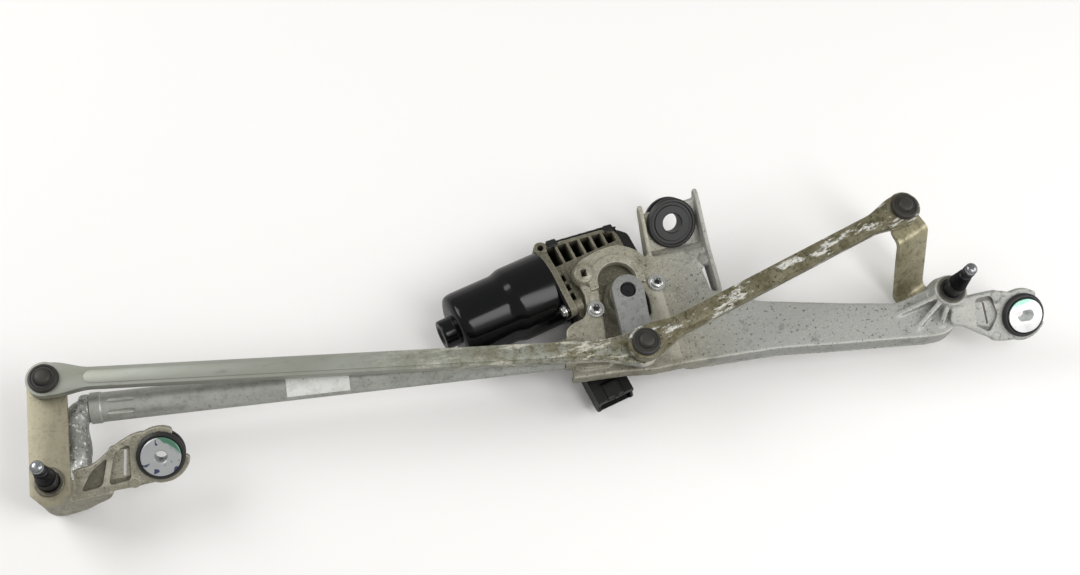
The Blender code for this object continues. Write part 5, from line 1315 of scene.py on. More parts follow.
@dataclass(frozen=True)
class Gearbox(Assembly):
    """Cast gear housing with its pocketed side, the black cover with its connector, and the terminals."""

    radius: float = 38.5
    chamber: float = 34.6
    top: float = -20.0
    bottom: float = -50.0
    flange_at: float = 94.3
    flange: float = 5.4
    belt_radius: float = 29.6
    belt_ear: float = 6.6
    tunnel_end: float = 172.0
    output_boss: float = 13.0
    output_step: float = 16.5
    output_bore: float = 8.3
    shaft_tunnel: float = 7.0
    screw_boss: float = 6.6
    ear_post: float = 4.7
    pockets: int = 6
    pitch: float = 9.6
    pocket: float = 7.7
    pocket_from: float = 9.7
    pocket_depth: float = 22.0
    side_slope: float = 0.135
    side_at: float = 27.6
    pocket_corner: float = 1.3
    small_pockets: tuple[float, ...] = (-21.0, -12.5, -4.0)
    cover_room: float = 0.3
    cover_top: float = -51.6
    cover: float = 3.6
    hood_height: float = 17.0
    hood_turn: float = 12.9

    def outline(self) -> Outline:
        """Plan of the worm tunnel's side, anticlockwise.

        Returns:
            The outline.
        """
        end, near = self.tunnel_end - 9, self.flange_at
        points = [
            (near, -26), (end, -17), (end, 14), (end - 2, 20.5), (end - 9, 23.5), (near + 14, 30), (near, 30)]
        return self.layout.plan(points, 3)

    def housing(self) -> Solid:
        """The casting with its pockets, lugs and bores.

        Returns:
            The casting.
        """
        place, motor = put(*self.layout.shaft), self.layout.motor()
        solid = [
            drum(self.radius, self.bottom, self.top, place), slab([self.outline()], self.bottom, self.top),
            slab(
                [belt(self.belt_radius, self.belt_ear, self.layout)], self.flange_at,
                self.flange_at + self.flange, motor), drum(self.output_boss, self.top - 1, -9, place),
            drum(self.output_step, self.top - 1, self.top + 1.2, place)]
        for angle in self.layout.can_ear_angles:
            solid.append(
                drum(
                    self.ear_post, self.flange_at + 1, self.flange_at + 12,
                    motor @ put(*polar(self.layout.can_ear_circle, angle))))
        solid += [
            drum(self.screw_boss, self.top - 1, -17.3, put(*point)) for point in self.layout.screw_points()]
        lug = put(*self.layout.beside_motor(self.flange_at + 5.7, 28.5))
        solid.append(drum(5.4, -33, -16.5, lug))
        for along in (112.0, 136.0):
            solid.append(drum(3.4, self.bottom, -30, put(*self.layout.beside_motor(along, -25.0))))
        cuts = [
            drum(2.6, -29, -10, lug), drum(self.output_bore, -40, 0, place),
            drum(self.chamber, self.bottom - 1, self.top - 4, place),
            drum(self.shaft_tunnel, 0, self.tunnel_end - 4, motor),
            block((-70, -45, 0), (70, 45, self.flange_at - 0.02), motor)]
        for i in range(self.pockets):
            start = self.flange_at + self.pocket_from + i * self.pitch
            end, reach = start + self.pocket, self.side_at - self.side_slope * i * self.pitch
            slope = self.side_slope * self.pocket + (2.5 if i == self.pockets - 1 else 0.0)
            corners = [(start, 10), (end, 10), (end, reach - slope), (start, reach)]
            cuts.append(
                slab([self.layout.plan(corners, self.pocket_corner)], self.top - self.pocket_depth, 0))
        for across in self.small_pockets:
            corners = [(101.6, across), (107.5, across), (107.5, across + 6.2), (101.6, across + 6.2)]
            cuts.append(slab([self.layout.plan(corners, self.pocket_corner)], self.top - 9, 0))
        return cast(solid, cuts, 0.75, 3)

    def hood(self) -> tuple[list[Solid], list[Solid]]:
        """Connector hood, square to the motor, with lip and latch; then what is cut from the cover.

        Returns:
            The solids and the cuts.
        """
        low = self.cover_top - self.cover
        high = low + self.hood_height
        place = put(418, 4, 0) @ turn(self.hood_turn, "Z")
        solid = [
            block((-15.5, -22, low), (15.5, 24, high), place),
            drum(5.2, -15.5, 15.5, place @ put(0, -19, low + 5.4) @ turn(90, "Y"), 48),
            block((-7, -21, high - 1), (7, -8, high + 2), place),
            block((-2, -23, high), (2, -18, high + 2), place)]
        cuts = [
            block((-13.2, -30, low + 2.2), (13.2, -3, high - 2.2), place),
            drum(self.radius + self.cover_room, self.cover_top + self.cover_room, 0, put(*self.layout.shaft))]
        return solid, cuts

    def cover_piece(self) -> Solid:
        """The cover: disc, tunnel plate, clip tabs and hood.

        Returns:
            The cover.
        """
        low = self.cover_top - self.cover
        end, near, shoulder = self.tunnel_end, self.flange_at + 6.4, self.flange_at + 13.7
        plan = [
            (near, -26), (end, -16), (end, 13), (end - 7, 18.5), (end - 18, 23.5), (shoulder, 30),
            (shoulder, 20), (near, 20)]
        solid, cuts = self.hood()
        parts = [*solid, drum(self.radius + 1, low, self.cover_top, put(*self.layout.shaft)),
                 slab([self.layout.plan(plan)], low, self.cover_top)]
        for along, edge in ((111.0, 30.0), (158.0, 22.4)):
            corners = [
                (along - 5, edge - 0.5), (along + 5, edge - 1.8), (along + 5, edge + 2), (along - 5, edge + 3)
            ]
            parts.append(slab([self.layout.plan(corners)], low, self.top - 3.5))
            hook = [
                (along - 4, edge - 3), (along + 4, edge - 4), (along + 4, edge + 1), (along - 4, edge + 2)]
            parts.append(slab([self.layout.plan(hook)], self.top - 0.2, self.top + 1.4))
            spring = [
                (along - 4, edge + 0.6), (along + 4, edge - 0.6), (along + 4, edge + 2), (along - 4, edge + 3)
            ]
            parts.append(slab([self.layout.plan(spring)], self.top - 4, self.top + 1.4))
        far = [(end - 8.6, -17), (end, -16), (end, 13), (end - 6, 19), (end - 8.6, 20.5)]
        parts.append(slab([self.layout.plan(far, 2.5)], low, self.top - 3.5))
        fence = [
            (end - 8, 20.5), (end - 17, 24.2), (near + 9, 30.4), (near + 9, 31.9), (end - 17, 25.8),
            (end - 6, 21.5)]
        parts.append(slab([self.layout.plan(fence)], low, self.top - 1.5))
        return cast(parts, cuts, 0.7, 2)

    def terminals(self) -> Solid:
        """Blades in the connector, grown in a row, on their carrier.

        Returns:
            The blades with their carrier.
        """
        middle = self.cover_top - self.cover + self.hood_height / 2
        place = put(418, 4, middle) @ turn(self.hood_turn, "Z")
        blades = blade_tree().grow({"Count": 5, "Pitch": (5.0, 0.0, 0.0), "Blade": (2.4, 11.0, 0.8),
                                    "Finish": self.finishes.zinc}, place=place @ put(-10, -9.5, 0))
        return merged([blades, block((-12.8, -5, -2.6), (12.8, -2.9, 2.6), place, 0.3)])

    def build(self) -> None:
        """Makes and dresses the gearbox's pieces."""
        publish(
            self.housing(), "cast_gear_housing", "frame", self.finishes.housing,
            ["gear_housing"])
        publish(
            self.cover_piece(), "moulded_gear_cover", "frame", self.finishes.plastic,
            ["gear_cover"])
        publish(
            self.terminals(), "terminal_blades", "frame", self.finishes.zinc,
            ["connector_terminals"])


@dataclass(frozen=True)
class Seat:
    """A tilted C-shaped seat that grips a grommet's groove, with hooked ends at its mouth."""

    layout: Layout
    centre: tuple[float, float, float]
    mouth: float
    half_mouth: float
    half: float = 3.0
    hook: float = 3.2

    def frame(self) -> Matrix:
        """The seat's own frame."""
        return self.layout.seat(self.centre)

    def solids(self) -> list[Solid]:
        """The C with a rounded hook at each end.

        Returns:
            The solids.
        """
        start, end = self.mouth + self.half_mouth, self.mouth + 360 - self.half_mouth
        inner, outer = self.layout.seat_bore, self.layout.seat_radius
        ring = arc((0, 0), outer, start, end, 60) + arc((0, 0), inner, end, start, 60)
        pieces = [slab([ring], -self.half, self.half, self.frame())]
        for angle in (start + 1, end - 1):
            pieces.append(
                drum(
                    self.hook, -self.half, self.half + 0.6,
                    self.frame() @ put(*polar(outer - self.hook, angle)), 36))
        return pieces

    def bore(self) -> Solid:
        """What the grommet's groove takes up."""
        return drum(self.layout.seat_bore, -8, 8, self.frame())


@dataclass(frozen=True)
class Arm:
    """A tilted arm with a recessed web, raised rims, pockets and a through slot."""

    outline: tuple[Point, ...]
    pockets: tuple[tuple[Point, ...], ...]
    slot: tuple[Point, ...]
    half: float = 3.0
    web: float = 2.4

    def solid(self, place: Matrix) -> Solid:
        """The arm's plate."""
        return slab([filleted(self.outline, 5)], -self.half, self.half, place)

    def cuts(self, place: Matrix) -> list[Solid]:
        """Its pockets and slot.

        Args:
            place: Where the arm is.

        Returns:
            The solids to cut.
        """
        cuts = [
            slab([filleted(pocket, 4)], self.half - self.web, self.half + 6, place) for pocket in self.pockets
        ]
        return [*cuts, slab([filleted(self.slot, 0.8)], -self.half - 4, self.half + 4, place)]


@dataclass(frozen=True)
class LeftPivot(Assembly):
    """Cast left pivot: boss, arm and skirt, with the grainy neck that bends to the tube."""

    boss: float = 14.0
    top: float = -6.0
    bottom: float = -57.0
    shoulder: float = -45.0
    bore: float = 8.3
    skirt_near: float = 9.5
    skirt: float = 3.0
    neck: float = 9.0

    def casting(self) -> Solid:
        """Boss, arm, seat and skirt.

        Returns:
            The casting.
        """
        seat = Seat(self.layout, self.layout.left_seat, 20, 42)
        shift = self.layout.left_seat[0]
        outline = [
            (0, -19), (20, -21), (34, -19), (48, -19.5), (shift - 6, -19.5), (shift - 15, 3),
            (shift - 6, 19.5), (62, 19.5), (48, 14), (30, 2.5), (10, 2), (0, 2)]
        arm = Arm(
            tuple((x - shift, y) for x, y in outline),
            (
                ((-60.5, -15), (-45, -14.5), (-37, 6.5), (-50, -1)),
                ((-40.5, -14.5), (-24, -14), (-20, 13), (-31.5, 9.5))),
            ((-29.5, -11), (-27.5, -11), (-23, 9), (-25, 9)))
        place = seat.frame()
        boss = [
            (0, self.top), (self.boss, self.top), (self.boss, self.shoulder), (self.boss - 3, self.bottom),
            (0, self.bottom)]
        skirt = [(0, -17), (41, -18), (36, -32), (27, -38.5), (17, -48), (8, -51), (0, -51)]
        solids = [turned(boss), arm.solid(place), *seat.solids(),
                  slab([filleted(skirt, 4)], self.skirt_near, self.skirt_near + self.skirt, turn(90, "X")),
                  drum(4.2, -3, 4.4, place @ put(-22, -16), 40), drum(4, -3, 4.2, place @ put(-32, 9.3), 40)]
        whole = cast(solids, [], 0.8, 3)
        return thinned(
            carved(whole, [*arm.cuts(place), seat.bore(), drum(self.bore, self.bottom - 1, self.top + 2)]),
            0.6)

    def neck_piece(self) -> Solid:
        """The bent neck with a rounded collar where the tube starts.

        Returns:
            The neck.
        """
        route = [
            (36, 54), (31, 54.2), (24, 51.5), (20.2, 45), (19.6, 36), (20.6, 27), (19, 19), (12, 11), (5, 5)]
        radii = [
            self.neck, self.neck, self.neck + 0.4, self.neck + 1.2, self.neck + 1.3, self.neck + 1.1, 10.6,
            11.5, 12.5]
        bar = pipe([(x, y, self.layout.tube_left[2]) for x, y in route], radii)
        collar = [(0, -8), (self.neck, -8), (10.6, -6.5), (10.9, -3), (10.4, 0), (0, 0)]
        ring = turned(filleted(collar, 1.5, False), self.layout.tube())
        lug = lofted(
            [
                [(4, 9, -9.5), (26, 9, -9.5), (26, 24, -12), (9, 22, -11)],
                [(4, 9, -25), (28, 9, -25), (28, 26, -24), (8, 24, -25)]])
        whole = cast([bar, ring, lug], [], 0.7, 3)
        return carved(
            whole, [drum(self.bore, self.bottom - 1, self.top + 2), drum(9.2, 0.3, 20, self.layout.tube())])

    def build(self) -> None:
        """Makes and dresses the pivot's pieces."""
        publish(
            self.casting(), "left_pivot_casting", "frame", self.finishes.frame,
            ["left_pivot_housing"])
        publish(self.neck_piece(), "left_pivot_neck", "frame", self.finishes.neck)


@dataclass(frozen=True)
class MotorFrame(Assembly):
    """Cast frame: plate over the gearbox, top ear, beam, right boss and right arm."""

    deck_top: float = -12.0
    deck: float = 5.0
    beam_depth: float = 17.0
    beam_wall: float = 3.5
    beam_web: float = 4.0
    boss: float = 16.0
    boss_top: float = -1.0
    boss_bottom: float = -51.0
    boss_shoulder: float = -29.0
    ear: float = 23.5
    ear_wall: float = 3.5
    ear_bottom: float = -29.0
    ear_bore: float = 16.5
    housing: float = 38.5
    bore: float = 8.3
    gussets: tuple[tuple[float, float], ...] = ((189.0, 47.0), (213.0, 41.0), (241.0, 28.5))
    gusset_half: float = 1.9
    arch: Point = (442.5, 67.0)
    arch_radius: float = 15.5
    band_radius: float = 22.5
    band_height: float = 2.4
    pad_height: float = 1.4
    socket: float = 12.0
    spigot: float = 9.2
    tower: Point = (417.5, 78.0)
    output_opening: float = 13.6
    screw_hole: float = 3.6
    corner: float = 5.0

    def deck_solids(self) -> list[Solid]:
        """Plate with its arched opening, raised band and pad, front rim, tube socket and tower.

        Returns:
            The solids.
        """
        outline = [
            (389, -3), (411, -4.5), (430, -6), (452, -9.5), (478, -9.5), (512, -11), (514, 46), (509.5, 82),
            (471, 82), (463.5, 92), (450, 98.5), (434, 96.5), (417, 90.5), (409, 82), (414.5, 62),
            (413.5, 53), (410.5, 43.5), (399, 41), (392.5, 36.5)]
        opening = arc(self.arch, self.arch_radius, -10, 175, 24)
        opening += [(424.8, 48), (421.5, 21), (436, 20), (441.5, 33.5), (462, 34.5), (463.5, 50)]
        rounded = filleted(opening, 3)
        low, top = self.deck_top - self.deck, self.deck_top
        rim = [
            (389, -3), (411, -4.5), (430, -6), (452, -9.5), (482, -9.8), (482, -6), (452, -5.5), (430, -2),
            (411, -0.5), (389, 1)]
        band = arc(self.arch, self.band_radius, -14, 190, 40) + arc(
            self.arch, self.arch_radius + 0.1, 190, -14, 40)
        pad = [(394, 3), (420, 1), (428, 10), (424, 22), (408, 27), (396, 20)]
        tube = self.layout.tube()
        length = self.layout.tube_length()
        profile = [(0, -7.4), (7, -7.4), (8.2, -9), (9.6, top - 1), (9.6, low + 1), (0, low + 1)]
        return [
            slab([filleted(outline, self.corner), rounded], low, top),
            slab([band], low, top + self.band_height),
            slab([filleted(pad, self.corner)], low + 1, top + self.pad_height),
            slab([rim], top - self.beam_depth + 3, top), drum(self.socket, length + 0.3, length + 16, tube),
            drum(self.spigot, length - 40, length + 2, tube),
            turned(filleted(profile, 1.2, False), put(*self.tower))]

    def beam_outline(self) -> Outline:
        """The tapering beam's plan.

        Returns:
            The outline.
        """
        points = [
            (478, -9.5), (512, -11.5), (554, -14), (602, -21), (640, -26), (676, -31), (688, -31.5),
            (700, -26), (712, -10), (706, 8), (690, 9), (658, 2), (613, 12), (548, 28), (512, 46), (478, 62)]
        return filleted(points, 6)

    def beam_solids(self) -> list[Solid]:
        """Beam with its rolled upper edge and its lower lip.

        Returns:
            The solids.
        """
        outline, top = self.beam_outline(), self.deck_top
        low = top - self.beam_depth
        shell = slab([outline, inset(outline, self.beam_wall)], low, top)
        lip = slab([inset(outline, -1.0), inset(outline, self.beam_wall)], low, low + 2.2)
        lid = slab([outline], top - self.beam_web, top)
        return [shell, lip, lid]

    def ear_solids(self) -> list[Solid]:
        """The top seat's tilted floor, its side walls, the apron and the V rib that run down to the plate.

        Returns:
            The solids.
        """
        place = self.layout.seat(self.layout.top_seat)
        width, x = self.ear, self.layout.top_seat[0]
        floor = [(-width, -25), (width, -25), (width, 16), (-width, 10)]
        stand = Matrix(((0, 0, 1, 0), (1, 0, 0, 0), (0, 1, 0, 0), (0, 0, 0, 1)))
        left = [(74, -29), (84, -29), (121, -7), (122, 1), (117, 2), (80, -12), (74, -12)]
        right = [(42, -29), (84, -29), (126, -4), (127, 3), (121, 4), (80, -7), (46, -10), (42, -12)]
        wall = self.ear_wall
        solids = [
            slab([floor], -3, 3, place),
            block((x - width - 1.7, 77, self.ear_bottom), (x + width - 1.7, 82, self.deck_top - 1))]
        for side, profile in ((-width, left), (width, right)):
            solids.append(slab([filleted(profile, 2.5)], x + side - wall / 2, x + side + wall / 2, stand))
        apron = [[(x - 21, 68, -12.5), (x + 21, 68, -12.5), (x + 21, 95, -21), (x - 21, 95, -21)],
                 [(x - 21, 66, -16), (x + 21, 66, -16), (x + 21, 94, -26), (x - 21, 94, -26)]]
        solids.append(lofted(apron))
        for foot, head in (((x + 4, 67), (x + 20, 82)), ((x + 15, 64), (x + 12, 76))):
            solids.append(
                pipe(
                    [(*foot, -11.6), (*(Vector(foot).lerp(Vector(head), 0.5)), -12.6), (*head, -15.5)],
                    [1.7] * 3))
        return solids

    def right_solids(self) -> tuple[list[Solid], list[Solid]]:
        """Right boss with its gussets, arm and seat; then what is cut from them.

        Returns:
            The solids and the cuts.
        """
        centre = put(self.layout.spacing, 0)
        profile = [
            (0, self.boss_top), (12.4, self.boss_top), (13.2, self.boss_top - 0.8), (13.8, -7),
            (self.boss, -13.5), (self.boss, self.boss_shoulder), (self.boss - 3, self.boss_bottom),
            (0, self.boss_bottom)]
        seat = Seat(self.layout, self.layout.right_seat, 10, 42)
        place = seat.frame()
        arm = Arm(
            (
                (-62, 4), (-50, 0), (-38, -8), (-22, -18), (-6, -19.5), (-15, 3), (-6, 19.5), (-22, 24),
                (-40, 24), (-58, 21)),
            (((-40, -1), (-29, -9), (-20.5, 4), (-25, 21), (-39, 21)),),
            ((-30.5, -2), (-28.5, -2), (-30.5, 16), (-32.5, 16)))
        solids = [
            turned(profile, centre), arm.solid(place), *seat.solids(),
            drum(4.4, -3, 4.4, place @ put(-21, 19.5), 40), drum(3.6, -3, 4.2, place @ put(-24.5, -13), 40)]
        foot, crest = self.deck_top - 2, self.boss_top - 2.5
        for angle, length in self.gussets:
            side = [
                (self.boss - 4, foot), (length, foot), (length, self.deck_top + 0.6), (self.boss, crest),
                (self.boss - 4, crest)]
            solids.append(
                slab([side], -self.gusset_half, self.gusset_half, centre @ turn(angle, "Z") @ turn(90, "X")))
        return solids, [*arm.cuts(place), seat.bore()]

    def casting(self) -> Solid:
        """The whole casting with its rooms and bores.

        Returns:
            The casting.
        """
        right, cuts = self.right_solids()
        solids = [*self.deck_solids(), *self.beam_solids(), *self.ear_solids(), *right]
        top = self.layout.seat(self.layout.top_seat)
        low, under = self.deck_top - self.beam_depth - 3, self.deck_top - self.deck - 0.3
        tunnel = self.layout.plan(
            [(86, -34), (173, -17), (173, 14), (166, 19.5), (154, 24.5), (108, 31), (86, 40)])
        cuts += [
            drum(self.housing + 0.6, low, under, put(*self.layout.shaft)), slab([tunnel], low, under),
            drum(self.ear_bore, -8, 8, top), block((-14.2, 0, -8), (14.2, 30, 8), top),
            drum(self.bore, self.boss_bottom - 1, 5, put(self.layout.spacing, 0)),
            block((415.2, 75, -20), (419.8, 81, 0)),
            drum(self.output_opening, low, 0, put(*self.layout.shaft))]
        cuts += [drum(self.screw_hole, -20, 0, put(*point)) for point in self.layout.screw_points()]
        return thinned(carved(cast(solids, [], 0.9, 5), cuts), 0.42)

    def build(self) -> None:
        """Makes and dresses the frame."""
        publish(
            self.casting(), "cast_motor_frame", "frame", self.finishes.frame,
            ["motor_frame"])


@dataclass(frozen=True)
class FrameTube(Assembly):
    """Steel tube with its stepped collar, its crimps and its blank sticker."""

    radius: float = 11.0
    wall: float = 1.5
    collar: float = 11.7
    collar_length: float = 8.0
    crimp: float = 2.4
    crimp_start: float = 13.0
    crimp_length: float = 20.0
    label_from: float = 143.0
    label_to: float = 190.0

    def tube(self) -> Solid:
        """The tube with its crimps pressed in.

        Returns:
            The tube.
        """
        length, inner = self.layout.tube_length(), self.radius - self.wall
        rows = [self.collar_length + (length - self.collar_length) * i / 60 for i in range(60, 0, -1)]
        profile = [(self.radius, row) for row in rows]
        profile += [
            (self.radius, self.collar_length + 0.6), (self.collar, self.collar_length - 0.4),
            (self.collar, 0.4), (self.collar - 0.4, 0), (inner, 0), (inner, length)]
        piece = turned(profile, self.layout.tube(), ring=True)
        dents = []
        for start in (self.crimp_start, length - self.crimp_start - self.crimp_length):
            for angle in (176, 221):
                place = self.layout.tube() @ put(*polar(self.radius + self.crimp - 0.9, angle))
                end = start + self.crimp_length
                dent = [
                    (0, start), (self.crimp * 0.7, start + 0.4), (self.crimp, start + 2.4),
                    (self.crimp, end - 2.4), (self.crimp * 0.7, end - 0.4), (0, end)]
                dents.append(turned(dent, place, steps=32))
        return carved(piece, dents, solver=Solver.EXACT)

    def sticker(self) -> Solid:
        """The paper wrapped half round the tube, a hair off its surface.

        Returns:
            The sticker.
        """
        outer, inner = self.radius + 0.1, self.radius + 0.02
        ring = arc((0, 0), outer, 105, 245, 40) + arc((0, 0), inner, 245, 105, 40)
        return slab([ring], self.label_from, self.label_to, self.layout.tube())

    def build(self) -> None:
        """Makes and dresses the tube's pieces."""
        publish(self.tube(), "steel_tube", "frame", self.finishes.tube, ["frame_tube"])
        publish(self.sticker(), "blank_sticker", "frame", self.finishes.sticker)


@dataclass(frozen=True)
class Mounts(Assembly):
    """Three rubber grommets, with the steel sleeves of the two outer ones."""

    radius: float = 17.6
    groove: float = 14.3
    half: float = 3.3
    full: float = 7.3
    flange: float = 14.4
    flange_from: float = 7.6
    flange_to: float = 9.2
    barrel: float = 6.5
    bore: float = 4.5

    def grommet(self, centre: Sequence[float], radius: float, groove: float, bore: float) -> Solid:
        """A grommet with rounded lips and a moulded bead round its face.

        Args:
            centre: Its seat's place.
            radius: Its outer radius.
            groove: Radius in its groove.
            bore: Radius of its bore.

        Returns:
            The grommet.
        """
        half, full, bead = self.half, self.full, radius - 2.6
        upper = [
            (bore, full - 0.9), (bore + 0.8, full), (bead - 3.4, full), (bead - 2.8, full - 1.1),
            (bead - 0.7, full - 1.1), (bead, full), (radius - 1.3, full - 0.1), (radius, full - 1.5),
            (radius, half + 0.4), (radius - 0.5, half), (groove, half)]
        return turned(upper + [(r, -z) for r, z in reversed(upper)], self.layout.seat(centre), True)

    def round_sleeve(self) -> Solid:
        """The left sleeve, its washer pressed from sheet with rolled edges.

        Returns:
            The sleeve.
        """
        low, high, edge = self.flange_from, self.flange_to, 0.5
        profile = [
            (self.bore + 0.6, high), (self.flange - 0.7, high), (self.flange, high - edge),
            (self.flange, low + 0.3), (self.flange - 0.4, low), (self.barrel, low), (self.barrel, -low),
            (self.bore, -low), (self.bore, high - 0.6)]
        return turned(profile, self.layout.seat(self.layout.left_seat), True)

    def oblong_sleeve(self) -> Solid:
        """The right sleeve, whose oblong hole lets the mount slide.

        Returns:
            The sleeve.
        """
        place = self.layout.seat(self.layout.right_seat)
        hole = oblong(2.5, self.bore)
        washer = slab([oblong(0.8, self.flange - 1), hole], self.flange_from, self.flange_to, place, 0.4)
        return merged(
            [washer, slab([oblong(2.5, self.barrel - 0.4), hole], -self.flange_from, self.flange_from, place)]
        )

    def build(self) -> None:
        """Makes and dresses the mounts."""
        rubber = self.finishes.rubber
        for name, centre, radius, groove, bore in (
            ("left_grommet", self.layout.left_seat, self.radius, self.groove, 6.9),
            ("right_grommet", self.layout.right_seat, self.radius, self.groove, 9.3),
            ("top_grommet", self.layout.top_seat, 20.0, 16.2, 7.6)):
            publish(
                self.grommet(centre, radius, groove, bore), "moulded_" + name, "frame", rubber,
                [name])
        publish(
            self.round_sleeve(), "round_sleeve", "frame", self.finishes.left_face,
            ["left_sleeve"])
        publish(
            self.oblong_sleeve(), "oblong_sleeve", "frame", self.finishes.right_face_painted_highlight,
            ["right_sleeve"])


@dataclass(frozen=True)
class Screws(Assembly):
    """The three pan-head mounting screws with their pressed washers and six-lobe recesses."""

    seat: float = -11.7
    head: float = 7.0
    height: float = 4.4
    recess: float = 2.9
    shank: float = 3.0
    shank_bottom: float = -23.0

    def fastener(self) -> Solid:
        """One screw, its seat at the origin.

        Returns:
            The screw.
        """
        head, high = self.head, self.height
        profile = [
            (0, high), (3.4, high), (4.7, high - 0.6), (5.1, high - 1.4), (5.2, 2.0), (head - 0.4, 1.8),
            (head + 0.1, 1.3), (head + 0.1, 0), (self.shank, 0), (self.shank, self.shank_bottom - self.seat),
            (0, self.shank_bottom - self.seat)]
        lobes = [polar(self.recess + 0.42 * math.cos(math.radians(i * 36)), i * 6) for i in range(60)]
        return carved(turned(profile, steps=60), [slab([lobes], high - 3.4, high + 1)], solver=Solver.EXACT)

    def build(self) -> None:
        """Makes and dresses the screws."""
        model = self.fastener()
        points = [Vector((*point, self.seat)) for point in self.layout.screw_points()]
        grown = fastener_tree().grow(
            {"Fastener": model, "Turn": math.radians(60), "Seed": 7, "Finish": self.finishes.zinc}, points)
        bpy.data.objects.remove(model, do_unlink=True)
        # Painted shade: dark discs at the bottom of the screws' recesses.
        dark_marks = merged(
            [
                drum(2.3, self.seat + 0.9, self.seat + 1.6, put(*point), 24)
                for point in self.layout.screw_points()])
        publish(dark_marks, "screw_recess_grime", "frame", self.finishes.rubber)
        publish(
            grown, "mount_screws", "frame", self.finishes.zinc,
            ["mount_screw_1", "mount_screw_2", "mount_screw_3"])


@dataclass(frozen=True)
class Ball:
    """Steel ball stud with one or two balls over its flange."""

    radius: float = 6.5
    neck: float = 4.0
    flange: float = 8.0
    flange_height: float = 1.6
    shank: float = 5.0

    def stud(self, foot: float, heights: Sequence[float], shank_bottom: float | None, place: Matrix) -> Solid:
        """The stud, turned.

        Args:
            foot: Height of the flange's underside.
            heights: The balls' centres, the highest first.
            shank_bottom: Where the riveted shank ends, if it has one.
            place: Where the stud stands.

        Returns:
            The stud.
        """
        reach = math.degrees(math.asin(self.neck / self.radius))
        profile: Outline = []
        for i, height in enumerate(heights):
            first = 0.0 if i == 0 else reach
            for k in range(15):
                angle = math.radians(first + (180 - reach - first) * k / 14)
                profile.append((self.radius * math.sin(angle), height + self.radius * math.cos(angle)))
        profile[0] = (0.0, profile[0][1])
        top = foot + self.flange_height
        profile += [
            (self.neck, top + 0.6), (self.neck + 0.6, top), (self.flange - 0.5, top),
            (self.flange, top - 0.5), (self.flange, foot)]
        if shank_bottom is not None:
            profile += [(self.shank, foot), (self.shank, shank_bottom)]
        return turned([*profile, (0.0, profile[-1][1])], place)


@dataclass(frozen=True)
class Cap:
    """Nylon ball socket: a domed cap, or a ring that lets the double stud through."""

    radius: float = 9.8
    flange: float = 11.0
    crown: float = 5.9
    cavity: float = 7.0
    top: float = 8.9
    lip: float = -4.4
    web_top: float = 2.1
    web_bottom: float = -0.7

    def socket(self, ball: float, closed: bool, place: Matrix) -> Solid:
        """The socket round a ball.

        Args:
            ball: Height of the ball's centre.
            closed: Whether it is domed.
            place: Where it stands in plan.

        Returns:
            The socket.
        """
        web, wall = ball + self.web_top, ball + self.web_top + 2.6
        if closed:
            crown, first = ball + self.top, 0.0
            outer = [
                (0, crown), (3.4, crown - 0.1), (self.crown - 1.0, crown - 0.5),
                (self.crown - 0.2, crown - 1.3), (self.crown + 0.2, wall + 1.4),
                (self.crown + 1.0, wall + 0.4), (self.crown + 2.4, wall + 0.3),
                (self.crown + 3.0, wall + 0.9), (self.crown + 4.2, wall + 0.6),
                (self.flange - 0.2, wall - 1.0)]
        else:
            first = math.degrees(math.asin(6 / self.cavity))
            outer = [(6, web + 1.2), (self.flange - 1.2, web + 1.2)]
        outer += [
            (self.flange, web + 0.6), (self.flange, web), (self.radius, web),
            (self.radius, ball + self.web_bottom), (self.radius - 1.2, ball + self.lip)]
        mouth = math.degrees(math.acos(self.lip / self.cavity))
        inner = []
        for i in range(17):
            angle = math.radians(mouth + (first - mouth) * i / 16)
            inner.append((self.cavity * math.sin(angle), ball + self.cavity * math.cos(angle)))
        if closed:
            inner[-1] = (0, ball + self.cavity)
        return turned(outer + inner, place, not closed)


